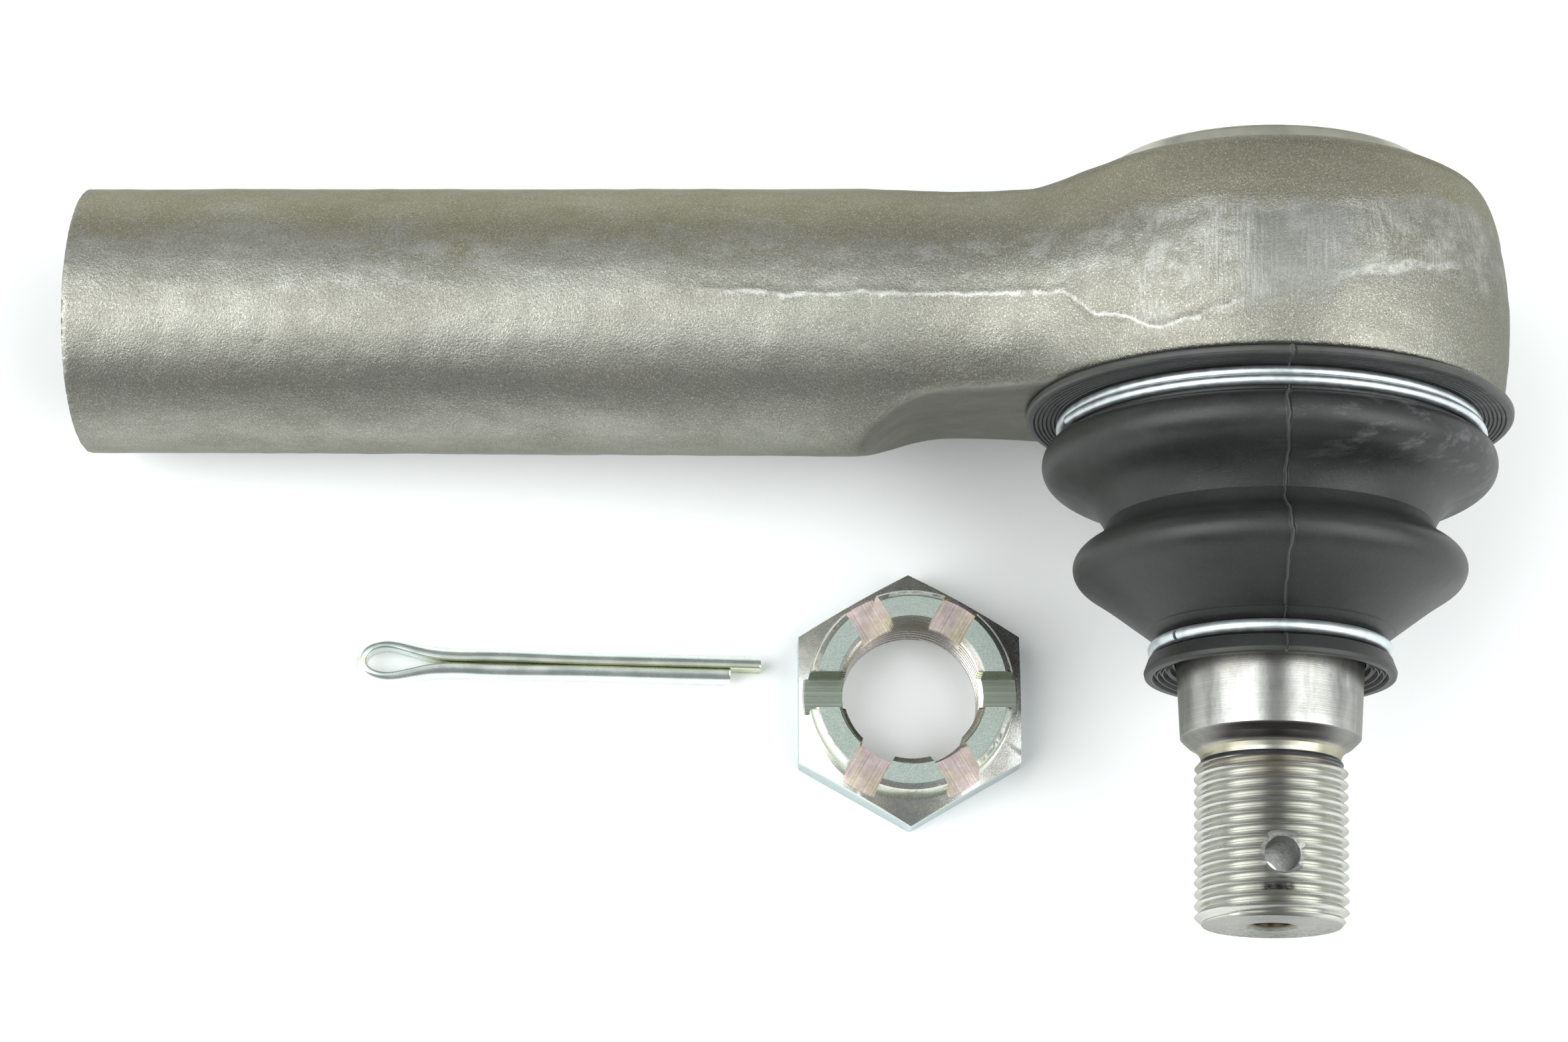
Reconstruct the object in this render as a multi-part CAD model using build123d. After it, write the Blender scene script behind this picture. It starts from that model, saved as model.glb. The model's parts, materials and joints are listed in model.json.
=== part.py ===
from build123d import *

import os
from math import atan2, cos, degrees, radians, sin, sqrt, tan

# Tie rod end: a forged housing with a female-threaded shank holds a ball stud in two bearing
# shells.  A crimped cap and a disc spring preload the ball, a rubber boot covers the stud's
# neck, and a castle nut and a split pin lie beside it, ready to be fitted.
# Millimetres.  Joint frame: origin at the ball's centre, +Z along the stud towards its thread,
# the shank along -X.  Everything is then laid on the table plane, z = 0, in the row frame.

# ball and stud
BALL_R = 16.0
BALL_FLAT_Z = -14.2
NECK_R = 9.5
NECK_END_Z = 20.0
COLLAR_R = 12.3
COLLAR_Z = (29.0, 45.5)
TAPER_END_Z = 56.1
TAPER_END_R = 11.66
TAPER_SLOPE = 0.05
UNDERCUT_R = 9.0
UNDERCUT_Z = (57.9, 59.4)
THREAD_R = 9.9
STUD_TIP_Z = 80.5
TIP_CHAMFER = 1.05
CENTRE_HOLE_R = 2.6
PIN_HOLE_R = 2.5
PIN_HOLE_Z = 72.6
STUD_TURN = -6.5

# bearing
SHELL_IN_R = 16.15
SHELL_OUT_R = 18.5
SHELL_GAP = 0.3
LOWER_SHELL_Z = 9.7
UPPER_SHELL_Z = -14.9
BORE_R = 18.6
SHOULDER_Z = 9.8
MOUTH_R = 15.6
MOUTH_OUT_R = 20.0
CAP_BORE_R = 19.6
CAP_SEAT_Z = -15.5
CAP_Z = (-17.4, -19.0)
CAP_R = 19.5
LIP_R = 21.6
LIP_TOP_Z = -20.1
LIP_IN_R = 17.0

# forged housing
HEAD_R = 31.57
HEAD_MID_Z = -0.7
COLLAR_OUT_R = 25.0
HEAD_LOW_Z = 12.6
COLLAR_LOW_Z = 17.6
SHANK_R = 17.75
SHANK_END_X = -157.7
SHANK_ROUND_X = -54.0
SHANK_CHAMFER = 0.5
THREAD_MINOR_R = 11.188
THREAD_DEPTH = 78.0
DRILL_DEPTH = 98.0
DRILL_R = 10.9
MOUTH_CHAMFER = 1.3
POCKET_Z = 12.9
POCKET_FLAT_R = 43.0
POCKET_RAMP_R = 12.0

# boot
FLANGE_R = 31.9
FLANGE_Z = (12.7, 13.9)
BEAD_R = 27.05
BEAD_END_Z = 17.0
UPPER_FOLD = (29.7, 20.2)
LOWER_FOLD = (25.6, 33.6)
WAIST = (21.4, 28.1)
BOOT_WALL = 2.2
BOOT_NECK_Z = 42.2
BIG_WIRE_R = 0.66
BIG_WIRE_Z = (14.62, 15.98)
SMALL_WIRE_R = 0.82
SMALL_WIRE_Z = 44.5
SMALL_GROOVE_R = 14.15
BOOT_LIP_R = 16.3
BOOT_LIP_Z = 48.2
BOOT_LIP_IN_R = 12.9
SLIDE_RING_R = 12.38

# castle nut
NUT_FLATS = 30.0
NUT_HEX_H = 7.3
NUT_H = 13.0
NUT_CROWN_R = 14.0
NUT_TOP_R = 12.75
NUT_BORE_R = 9.19
NUT_MOUTH_R = 10.1
NUT_SLOT_W = 4.9
NUT_SLOT_Z = 7.1
NUT_XY = (-45.4, -46.7)
NUT_TURN = 1.5

# split pin
WIRE_R = 1.87
WIRE_GAP = 0.05
EYE_HALF = 1.7
PIN_LENGTH = 55.0
PIN_SHORTER = 4.1
EYE_LENGTH = 11.3
PIN_XY = (-120.6, -42.6)
PIN_TURN = -0.1

# how the joint lies: the head's widest round and the boot's flange touch the table, and so
# does the lower edge of the shank's free end
REST_ROLL = degrees(atan2(FLANGE_R - HEAD_R, FLANGE_Z[0] - HEAD_MID_Z))
REST_SLOPE = 5.06


def turned(*lines):
    """Turn the closed outline made of the given lines about the stud's axis."""
    edges = [edge for line in lines for edge in line.edges()]
    return revolve(make_face(edges), Axis.Z)


def ring(points):
    """Turn a closed outline of (radius, z) points about the stud's axis."""
    return turned(Polyline([(r, 0, z) for r, z in points], close=True))


def wire_ring(radius, height, wire_r):
    return Pos(0, 0, height) * Rot(0, 0, 90) * Torus(radius, wire_r)


def taper_r(z):
    """Radius of the stud's 1:10 taper at height z."""
    return TAPER_END_R + TAPER_SLOPE * (TAPER_END_Z - z)


def ball_stud():
    flat_r = sqrt(BALL_R**2 - BALL_FLAT_Z**2)
    neck_z = sqrt(BALL_R**2 - NECK_R**2)
    points = [
        (NECK_R, NECK_END_Z),
        (COLLAR_R, COLLAR_Z[0]),
        (COLLAR_R, COLLAR_Z[1]),
        (taper_r(COLLAR_Z[1] + 0.3), COLLAR_Z[1] + 0.3),
        (TAPER_END_R, TAPER_END_Z),
        (TAPER_END_R - 1.0, TAPER_END_Z + 1.0),
        (UNDERCUT_R, UNDERCUT_Z[0]),
        (UNDERCUT_R, UNDERCUT_Z[1]),
        (THREAD_R, UNDERCUT_Z[1] + 0.9),
        (THREAD_R, STUD_TIP_Z - TIP_CHAMFER),
        (THREAD_R - TIP_CHAMFER, STUD_TIP_Z),
        (0, STUD_TIP_Z),
        (0, BALL_FLAT_Z),
        (flat_r, BALL_FLAT_Z),
    ]
    outline = [
        ThreePointArc((flat_r, 0, BALL_FLAT_Z), (BALL_R, 0, 0), (NECK_R, 0, neck_z)),
        Polyline([(NECK_R, 0, neck_z)] + [(r, 0, z) for r, z in points]),
    ]
    stud = turned(*outline)
    stud -= Pos(0, 0, STUD_TIP_Z - 1.5) * Cylinder(CENTRE_HOLE_R, 3.0)
    cross = Pos(0, 0, PIN_HOLE_Z) * Rot(90, 0, 0) * Cylinder(PIN_HOLE_R, 3 * THREAD_R)
    return Rot(0, 0, STUD_TURN) * (stud - cross)


def lower_shell():
    inner_low_z = 7.1
    inner_low_r = sqrt(SHELL_IN_R**2 - inner_low_z**2)
    inner_top_r = sqrt(SHELL_IN_R**2 - SHELL_GAP**2)
    mid_z = (inner_low_z + SHELL_GAP) / 2
    outline = [
        ThreePointArc(
            (inner_top_r, 0, SHELL_GAP),
            (sqrt(SHELL_IN_R**2 - mid_z**2), 0, mid_z),
            (inner_low_r, 0, inner_low_z),
        ),
        Polyline(
            (inner_low_r, 0, inner_low_z),
            (15.3, 0, 8.6),
            (MOUTH_R + 0.3, 0, LOWER_SHELL_Z),
            (SHELL_OUT_R, 0, LOWER_SHELL_Z),
            (SHELL_OUT_R, 0, SHELL_GAP),
            (inner_top_r, 0, SHELL_GAP),
        ),
    ]
    return turned(*outline)


def upper_shell():
    inner_top_z = -13.4
    inner_top_r = sqrt(SHELL_IN_R**2 - inner_top_z**2)
    inner_low_r = sqrt(SHELL_IN_R**2 - SHELL_GAP**2)
    mid_z = (inner_top_z - SHELL_GAP) / 2
    outline = [
        ThreePointArc(
            (inner_low_r, 0, -SHELL_GAP),
            (sqrt(SHELL_IN_R**2 - mid_z**2), 0, mid_z),
            (inner_top_r, 0, inner_top_z),
        ),
        Polyline(
            (inner_top_r, 0, inner_top_z),
            (inner_top_r + 0.6, 0, UPPER_SHELL_Z),
            (SHELL_OUT_R, 0, UPPER_SHELL_Z),
            (SHELL_OUT_R, 0, -SHELL_GAP),
            (inner_low_r, 0, -SHELL_GAP),
        ),
    ]
    return turned(*outline)


def pressure_plate():
    return ring([(7.4, -14.95), (17.3, -14.95), (17.3, -15.75), (7.4, -15.75)])


def preload_spring():
    """Conical disc spring between the pressure plate and the cap."""
    return ring([(15.3, -15.8), (15.3, -16.7), (8.2, -18.1), (8.2, -17.2)])


def cap_seal():
    return wire_ring(18.5, -16.45, 0.88)


def closing_cap():
    return ring(
        [
            (0, -18.3),
            (15.4, -18.3),
            (16.3, CAP_Z[0]),
            (CAP_R, CAP_Z[0]),
            (CAP_R, CAP_Z[1]),
            (16.6, CAP_Z[1]),
            (15.8, -19.8),
            (0, -19.8),
        ]
    )


def head_blank():
    """The forging's round head, its collar for the boot, and the crimped lip on top."""
    side = ThreePointArc((30.6, 0, 11.2), (HEAD_R, 0, HEAD_MID_Z), (30.1, 0, -11.8))
    shoulder = Spline(
        (30.1, 0, -11.8),
        (29.9, 0, -14.0),
        (29.1, 0, -15.8),
        (26.8, 0, -16.9),
        tangents=[(-0.1, 0, -1), (-1, 0, -0.27)],
    )
    rest = Polyline(
        (26.8, 0, -16.9),
        (LIP_R + 0.3, 0, -18.2),
        (LIP_R, 0, -18.5),
        (LIP_R, 0, LIP_TOP_Z + 0.7),
        (LIP_R - 0.7, 0, LIP_TOP_Z),
        (0, 0, LIP_TOP_Z),
        (0, 0, COLLAR_LOW_Z),
        (COLLAR_OUT_R - 0.6, 0, COLLAR_LOW_Z),
        (COLLAR_OUT_R, 0, COLLAR_LOW_Z - 0.6),
        (COLLAR_OUT_R, 0, HEAD_LOW_Z),
        (29.4, 0, HEAD_LOW_Z),
        (30.6, 0, 11.2),
    )
    return turned(side, shoulder, rest)


def neck_blank():
    """Shank stub that widens into the head: a loft through upright ellipses along X."""
    stations = [
        (SHANK_ROUND_X, SHANK_R, SHANK_R),
        (-43.0, 17.6, 17.4),
        (-31.0, 20.3, 17.8),
        (-21.0, 25.0, 17.9),
        (-8.0, 28.0, 17.0),
    ]
    sections = []
    for x, half_width, half_height in stations:
        plane = Plane(origin=(x, 0, 0), x_dir=(0, 1, 0), z_dir=(1, 0, 0))
        sections.append(plane * Ellipse(half_width, half_height))
    return loft(sections)


def pocket_tool():
    """Spot face round the stud that leaves the boot's flange free under the neck."""
    ramp_end_r = POCKET_FLAT_R + POCKET_RAMP_R
    middle = radians(45)
    middle_r = POCKET_FLAT_R + POCKET_RAMP_R * sin(middle)
    middle_z = POCKET_Z + POCKET_RAMP_R * (1 - cos(middle))
    top_z = POCKET_Z + POCKET_RAMP_R
    outline = [
        ThreePointArc(
            (POCKET_FLAT_R, 0, POCKET_Z), (middle_r, 0, middle_z), (ramp_end_r, 0, top_z)
        ),
        Polyline(
            (ramp_end_r, 0, top_z),
            (COLLAR_OUT_R, 0, top_z),
            (COLLAR_OUT_R, 0, HEAD_LOW_Z),
            (FLANGE_R + 0.4, 0, HEAD_LOW_Z),
            (POCKET_FLAT_R, 0, POCKET_Z),
        ),
    ]
    return turned(*outline)


def housing_bore():
    """Everything machined about the stud's axis, from the cap's seat to the flared mouth."""
    cut = ring(
        [
            (0, COLLAR_LOW_Z + 1),
            (MOUTH_OUT_R + 0.5, COLLAR_LOW_Z + 1),
            (MOUTH_OUT_R, COLLAR_LOW_Z),
            (MOUTH_R, 11.6),
            (MOUTH_R, SHOULDER_Z),
            (BORE_R, SHOULDER_Z),
            (BORE_R, CAP_SEAT_Z),
            (CAP_BORE_R, CAP_SEAT_Z),
            (CAP_BORE_R, CAP_Z[1] - 0.05),
            (LIP_IN_R, CAP_Z[1] - 0.05),
            (LIP_IN_R, LIP_TOP_Z - 1),
            (0, LIP_TOP_Z - 1),
        ]
    )
    return cut


def shank_bore():
    """Threaded hole in the shank, drawn about +Z from its mouth, and its drilled bottom."""
    tip_depth = DRILL_DEPTH + DRILL_R * tan(radians(31))
    cut = ring(
        [
            (0, -1),
            (THREAD_MINOR_R + MOUTH_CHAMFER + 1, -1),
            (THREAD_MINOR_R, MOUTH_CHAMFER),
            (THREAD_MINOR_R, THREAD_DEPTH),
            (DRILL_R, THREAD_DEPTH + 0.3),
            (DRILL_R, DRILL_DEPTH),
            (0, tip_depth),
        ]
    )
    return Pos(SHANK_END_X, 0, 0) * Rot(0, 90, 0) * cut


def housing():
    length = SHANK_ROUND_X - SHANK_END_X
    shank = Pos(SHANK_END_X + length / 2, 0, 0) * Rot(0, 90, 0) * Cylinder(SHANK_R, length)
    free_end = shank.edges().sort_by(Axis.X)[0]
    shank = chamfer(free_end, SHANK_CHAMFER)
    body = head_blank() + neck_blank() + shank
    return body - pocket_tool() - housing_bore() - shank_bore()


def boot_flange():
    """The boot's top bead on the housing's collar, with the flange that seals on the head."""
    inner = COLLAR_OUT_R + 0.02
    return ring(
        [
            (inner, FLANGE_Z[0]),
            (FLANGE_R - 0.25, FLANGE_Z[0]),
            (FLANGE_R, FLANGE_Z[0] + 0.25),
            (FLANGE_R - 0.1, FLANGE_Z[1] - 0.2),
            (30.0, FLANGE_Z[1]),
            (BEAD_R, FLANGE_Z[1]),
            (BEAD_R, BEAD_END_Z),
            (inner, BEAD_END_Z),
        ]
    )


def boot_clamp_ring():
    """Two turns of spring wire round the boot's top bead."""
    centre_r = BEAD_R + BIG_WIRE_R + 0.03
    turns = [wire_ring(centre_r, z, BIG_WIRE_R) for z in BIG_WIRE_Z]
    return Compound(children=turns)


def boot_skin(outer, wall):
    """A band of the boot between two curves: outer is a list of (radius, z) points."""
    outside = Spline([(r, 0, z) for r, z in outer])
    inside = Spline([(r - wall, 0, z) for r, z in outer])
    return turned(outside, inside, Line(outside @ 1, inside @ 1), Line(inside @ 0, outside @ 0))


def boot_upper_fold():
    return boot_skin(
        [(27.2, BEAD_END_Z), (28.9, 17.8), UPPER_FOLD, (29.2, 21.6), (27.5, 23.0),
         (23.6, 24.9), WAIST],
        BOOT_WALL,
    )


def boot_lower_fold():
    return boot_skin(
        [WAIST, (22.3, 30.0), (24.3, 31.4), LOWER_FOLD, (25.0, 35.4), (23.4, 36.7),
         (17.9, 40.6), (15.9, BOOT_NECK_Z)],
        BOOT_WALL,
    )


def boot_lip():
    """The boot's lower end: a neck in its groove for the wire, and a flared sealing lip."""
    ring_top = 43.2
    ring_low = 46.4
    ring_r = 13.6
    return ring(
        [
            (BOOT_LIP_IN_R, BOOT_NECK_Z),
            (15.7, BOOT_NECK_Z),
            (SMALL_GROOVE_R, 43.5),
            (SMALL_GROOVE_R, 45.5),
            (15.7, 45.8),
            (BOOT_LIP_R, 47.7),
            (BOOT_LIP_R - 0.2, BOOT_LIP_Z),
            (15.2, BOOT_LIP_Z),
            (14.2, 47.0),
            (BOOT_LIP_IN_R, 47.0),
            (BOOT_LIP_IN_R, ring_low),
            (ring_r, ring_low),
            (ring_r, ring_top),
            (BOOT_LIP_IN_R, ring_top),
        ]
    )


def boot_slide_ring():
    """Hard ring inside the lip on which the stud's collar turns."""
    return ring([(SLIDE_RING_R, 43.25), (13.55, 43.25), (13.55, 46.35), (SLIDE_RING_R, 46.35)])


def boot_lip_ring():
    return wire_ring(SMALL_GROOVE_R + SMALL_WIRE_R + 0.05, SMALL_WIRE_Z, SMALL_WIRE_R)


def castle_nut():
    corner_r = NUT_FLATS / 2 / cos(radians(30))
    hexagon = Rot(0, 0, 30) * RegularPolygon(corner_r, 6)
    hex_body = extrude(hexagon, NUT_HEX_H)
    cone_drop = (corner_r - NUT_CROWN_R) * tan(radians(30))
    hex_body &= ring(
        [
            (0, 0),
            (corner_r - 0.6, 0),
            (corner_r, 0.35),
            (corner_r, NUT_HEX_H - cone_drop),
            (NUT_CROWN_R, NUT_HEX_H),
            (0, NUT_HEX_H),
        ]
    )
    crown = ring(
        [(0, NUT_HEX_H - 1), (NUT_CROWN_R, NUT_HEX_H - 1), (NUT_CROWN_R, NUT_HEX_H),
         (13.6, NUT_H - 1.5), (NUT_TOP_R, NUT_H), (0, NUT_H)]
    )
    bore = ring(
        [(0, -1), (NUT_MOUTH_R + 1, -1), (NUT_BORE_R, NUT_MOUTH_R - NUT_BORE_R),
         (NUT_BORE_R, NUT_H - NUT_MOUTH_R + NUT_BORE_R), (NUT_MOUTH_R + 1, NUT_H + 1),
         (0, NUT_H + 1)]
    )
    nut = hex_body + crown - bore
    slot = Pos(0, 0, NUT_SLOT_Z + NUT_H / 2) * Box(3 * NUT_CROWN_R, NUT_SLOT_W, NUT_H)
    for turn in (0, 60, 120):
        nut -= Rot(0, 0, turn) * slot
    return nut


def split_pin():
    """Half-round wire bent back on itself: an eye, a long leg and a shorter one."""
    tip = PIN_LENGTH - WIRE_R
    half = EYE_HALF
    path = FilletPolyline(
        (tip, WIRE_GAP, 0),
        (EYE_LENGTH, WIRE_GAP, 0),
        (4.6, half, 0),
        (0, half, 0),
        (0, -half, 0),
        (4.6, -half, 0),
        (EYE_LENGTH, -WIRE_GAP, 0),
        (tip - PIN_SHORTER, -WIRE_GAP, 0),
        radius=[9, 6, half * 0.98, half * 0.98, 6, 9],
    )
    round_side = ThreePointArc((0, -WIRE_R), (WIRE_R, 0), (0, WIRE_R))
    half_round = make_face([round_side, Line((0, WIRE_R), (0, -WIRE_R))])
    start = Plane(origin=path @ 0, x_dir=(0, 1, 0), z_dir=path % 0)
    return Pos(WIRE_R, 0, WIRE_R) * sweep(start * half_round, path=path)


def joint_to_table(part):
    """Lay the joint down: the stud points along -Y, and the free end of the shank is low."""
    return Rot(0, -REST_SLOPE, 0) * Rot(90 - REST_ROLL, 0, 0) * part


JOINT_PARTS = {
    "housing": housing,
    "bearing_shell_upper": upper_shell,
    "bearing_shell_lower": lower_shell,
    "pressure_plate": pressure_plate,
    "preload_spring": preload_spring,
    "cap_seal_ring": cap_seal,
    "closing_cap": closing_cap,
    "boot_flange": boot_flange,
    "boot_clamp_ring": boot_clamp_ring,
    "boot_upper_fold": boot_upper_fold,
    "boot_lower_fold": boot_lower_fold,
    "boot_lip": boot_lip,
    "boot_slide_ring": boot_slide_ring,
    "boot_lip_ring": boot_lip_ring,
    "ball_stud": ball_stud,
}


def laid_out():
    """Every part on the table, with the origin at the middle of the whole footprint."""
    parts = {name: joint_to_table(make()) for name, make in JOINT_PARTS.items()}
    low = min(parts[name].bounding_box().min.Z for name in ("housing", "boot_flange"))
    lift = Pos(0, 0, -low)
    parts = {name: lift * part for name, part in parts.items()}
    parts["castle_nut"] = Pos(*NUT_XY, 0) * Rot(0, 0, NUT_TURN) * castle_nut()
    parts["split_pin"] = Pos(*PIN_XY, 0) * Rot(0, 0, PIN_TURN) * split_pin()
    boxes = [part.bounding_box() for part in parts.values()]
    middle_x = (min(b.min.X for b in boxes) + max(b.max.X for b in boxes)) / 2
    middle_y = (min(b.min.Y for b in boxes) + max(b.max.Y for b in boxes)) / 2
    shift = Pos(-middle_x, -middle_y, 0)
    ball_centre = Vector(-middle_x, -middle_y, -low)
    return {name: shift * part for name, part in parts.items()}, ball_centre


PARTS, BALL_CENTRE = laid_out()

if __name__ == "__main__":
    os.makedirs("parts", exist_ok=True)
    for node, solid in PARTS.items():
        export_step(solid, f"parts/{node}.step")
    print("ball centre", BALL_CENTRE)
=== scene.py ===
import json
from math import acos, cos, pi, radians, sin, tau

import bmesh
import bpy
import numpy as np
from mathutils import Matrix, Vector


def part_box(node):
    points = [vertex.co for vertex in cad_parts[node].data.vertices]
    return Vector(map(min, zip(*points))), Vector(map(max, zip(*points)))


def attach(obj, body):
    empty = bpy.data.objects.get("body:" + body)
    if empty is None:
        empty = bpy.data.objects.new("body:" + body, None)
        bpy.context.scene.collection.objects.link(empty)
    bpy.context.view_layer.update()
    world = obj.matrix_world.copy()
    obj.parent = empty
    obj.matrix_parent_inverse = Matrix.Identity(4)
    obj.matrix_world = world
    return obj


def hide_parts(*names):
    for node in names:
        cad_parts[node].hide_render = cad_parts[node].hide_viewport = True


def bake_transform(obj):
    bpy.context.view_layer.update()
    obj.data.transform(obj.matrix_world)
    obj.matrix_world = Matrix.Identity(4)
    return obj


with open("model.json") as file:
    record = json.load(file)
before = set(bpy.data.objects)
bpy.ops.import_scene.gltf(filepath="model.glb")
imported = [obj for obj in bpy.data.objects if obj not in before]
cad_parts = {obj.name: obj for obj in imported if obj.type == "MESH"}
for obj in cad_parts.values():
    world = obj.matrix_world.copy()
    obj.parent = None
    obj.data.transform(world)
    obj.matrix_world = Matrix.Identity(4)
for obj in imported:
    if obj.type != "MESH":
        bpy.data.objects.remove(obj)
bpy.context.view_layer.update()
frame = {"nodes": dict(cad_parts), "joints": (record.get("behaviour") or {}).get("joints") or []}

# Tie rod end.  Shapes are drawn in millimetres in the joint frame: origin at the ball's centre,
# +Z along the stud, the shank along -X, +Y up from the table.  Each mesh keeps those
# coordinates in the attribute "at", which the materials read.
MM = 0.001
JOINTS = {joint["name"]: joint for joint in frame["joints"]}
BALL_CENTRE = Vector(JOINTS["stud_spin"]["pos_m"])


def joint_frame():
    """Millimetres in the joint frame to metres in the row frame."""
    x_axis = -Vector(JOINTS["stud_swing_up"]["axis"])
    y_axis = Vector(JOINTS["stud_swing_side"]["axis"])
    z_axis = Vector(JOINTS["stud_spin"]["axis"])
    turn = Matrix((x_axis, y_axis, z_axis)).transposed()
    return Matrix.Translation(BALL_CENTRE) @ turn.to_4x4() @ Matrix.Scale(MM, 4)


def flat_frame(origin, turn=0.0):
    """Millimetres in a frame that stands at a point on the table to metres in the row frame."""
    return Matrix.Translation(origin) @ Matrix.Rotation(turn, 4, "Z") @ Matrix.Scale(MM, 4)


JOINT = joint_frame()

# ------------------------------------------------------------------ outlines and mesh building
COLUMNS = 192
WELD_GAP = 1e-4


def spline(points, count):
    """Natural cubic curve through the points, at count places spread by chord length."""
    points = np.array(points, float)
    chords = np.linalg.norm(np.diff(points, axis=0), axis=1)
    at = np.concatenate([[0], np.cumsum(chords)])
    size = len(points)
    system = np.eye(size)
    right = np.zeros_like(points)
    for i in range(1, size - 1):
        before, after = chords[i - 1], chords[i]
        system[i, i - 1:i + 2] = before, 2 * (before + after), after
        slope_after = (points[i + 1] - points[i]) / after
        slope_before = (points[i] - points[i - 1]) / before
        right[i] = 6 * (slope_after - slope_before)
    bend = np.linalg.solve(system, right)
    where = np.linspace(0, at[-1], count)
    span = np.clip(np.searchsorted(at, where, side="right") - 1, 0, size - 2)
    step = chords[span][:, None]
    a = (at[span + 1] - where)[:, None]
    b = (where - at[span])[:, None]
    curve = (bend[span] * a**3 + bend[span + 1] * b**3) / (6 * step)
    curve += (points[span] / step - bend[span] * step / 6) * a
    curve += (points[span + 1] / step - bend[span + 1] * step / 6) * b
    return [tuple(p) for p in curve]


def arc(centre, radius, start, end, count):
    """Points round a centre, from one angle to another, in degrees."""
    angles = np.radians(np.linspace(start, end, count))
    return [(centre[0] + radius * cos(a), centre[1] + radius * sin(a)) for a in angles]


def rounded(corners, radius, steps=4, close=True):
    """The closed outline with each corner rounded by a small arc."""
    points = [Vector(c) for c in corners]
    made = []
    for i, corner in enumerate(points):
        if not close and i in (0, len(points) - 1):
            made.append(tuple(corner))
            continue
        before = points[i - 1] - corner
        after = points[(i + 1) % len(points)] - corner
        turn = before.angle(after)
        reach = min(radius / max(np.tan(turn / 2), 0.05), before.length * 0.45, after.length * 0.45)
        start = corner + before.normalized() * reach
        end = corner + after.normalized() * reach
        for share in np.linspace(0, 1, steps):
            low = start.lerp(corner, share)
            high = corner.lerp(end, share)
            made.append(tuple(low.lerp(high, share)))
    return made


def dense(points, step):
    """The open outline with long straight runs divided."""
    made = [points[0]]
    for start, end in zip(points, points[1:]):
        start, end = np.array(start), np.array(end)
        count = max(1, int(np.ceil(np.linalg.norm(end - start) / step)))
        made += [tuple(start + (end - start) * i / count) for i in range(1, count + 1)]
    return made


def piece(name, points, faces, to_row, **values):
    """A mesh object from points in millimetres, with a number at each point for each value."""
    mesh = bpy.data.meshes.new(name)
    mesh.from_pydata([tuple(p) for p in points], [], [tuple(f) for f in faces])
    for key, numbers in values.items():
        mesh.attributes.new(key, "FLOAT", "POINT").data.foreach_set("value", np.float32(numbers))
    obj = bpy.data.objects.new(name, mesh)
    bpy.context.scene.collection.objects.link(obj)
    clean(obj)
    obj["frame"] = [x for row in to_row for x in row]
    return obj


def clean(obj):
    """Weld double points, drop empty faces and turn all faces outwards."""
    work = bmesh.new()
    work.from_mesh(obj.data)
    bmesh.ops.remove_doubles(work, verts=work.verts, dist=WELD_GAP)
    bmesh.ops.dissolve_degenerate(work, edges=work.edges, dist=WELD_GAP)
    bmesh.ops.recalc_face_normals(work, faces=work.faces)
    work.to_mesh(obj.data)
    work.free()


def turned_faces(rows, columns, closed):
    """Faces of a grid of rows that each go all the way round."""
    faces = []
    for i in range(rows if closed else rows - 1):
        low, high = i * columns, (i + 1) % rows * columns
        for j in range(columns):
            k = (j + 1) % columns
            faces.append((low + j, low + k, high + k, high + j))
    return faces


def band(outline, columns=COLUMNS, closed=False):
    """Points and faces of an outline of (radius, height) points turned about Z."""
    angles = np.arange(columns) * tau / columns
    points = [(r * cos(a), r * sin(a), z) for r, z in outline for a in angles]
    return points, turned_faces(len(outline), columns, closed)


def turned(name, outline, to_row, columns=COLUMNS):
    """A piece from a closed outline turned about Z."""
    return piece(name, *band(outline, columns, True), to_row)


PITCH = 1.5
# share of the pitch from one crest, and share of the thread's depth below the crest
THREAD_FORM = [(k / 10, (1 - cos(tau * k / 10)) / 2) for k in range(10)]


def thread_wall(low, high, radius_at):
    """Helical wall from height low to high: radius_at(height, depth share) gives its radius."""
    per_pitch = len(THREAD_FORM)
    turns = int(np.ceil((high - low) / PITCH)) + 2
    points = []
    rows = turns * per_pitch + 1
    for i in range(rows):
        share, depth = THREAD_FORM[i % per_pitch]
        for j in range(COLUMNS):
            height = low + PITCH * (i // per_pitch - 1 + share + j / COLUMNS)
            height = min(max(height, low), high)
            r = radius_at(height, depth)
            a = tau * j / COLUMNS
            points.append((r * cos(a), r * sin(a), height))
    faces = []
    for i in range(rows - 1):
        for j in range(COLUMNS - 1):
            a = i * COLUMNS + j
            faces.append((a, a + 1, a + COLUMNS + 1, a + COLUMNS))
        a = i * COLUMNS + COLUMNS - 1
        b = (i + per_pitch) * COLUMNS
        if b + COLUMNS < rows * COLUMNS:
            faces.append((a, b, b + COLUMNS, a + COLUMNS))
    return points, faces


def joined(*parts):
    """One list of points and one of faces from several."""
    points, faces = [], []
    for more_points, more_faces in parts:
        start = len(points)
        points += more_points
        faces += [tuple(start + i for i in face) for face in more_faces]
    return points, faces


def sweep(path, section):
    """A section of (sideways, upwards) offsets carried along a path, with Z as its upwards."""
    path = [Vector(p) for p in path]
    count = len(path)
    points = []
    for i, place in enumerate(path):
        along = (path[min(i + 1, count - 1)] - path[max(i - 1, 0)]).normalized()
        side = along.cross(Vector((0, 0, 1))).normalized()
        up = side.cross(along)
        points += [place + side * a + up * b for a, b in section(i)]
    size = len(points) // count
    faces = turned_faces(count, size, False)
    faces.append(tuple(range(size)))
    faces.append(tuple(reversed(range(len(points) - size, len(points)))))
    return points, faces


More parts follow.
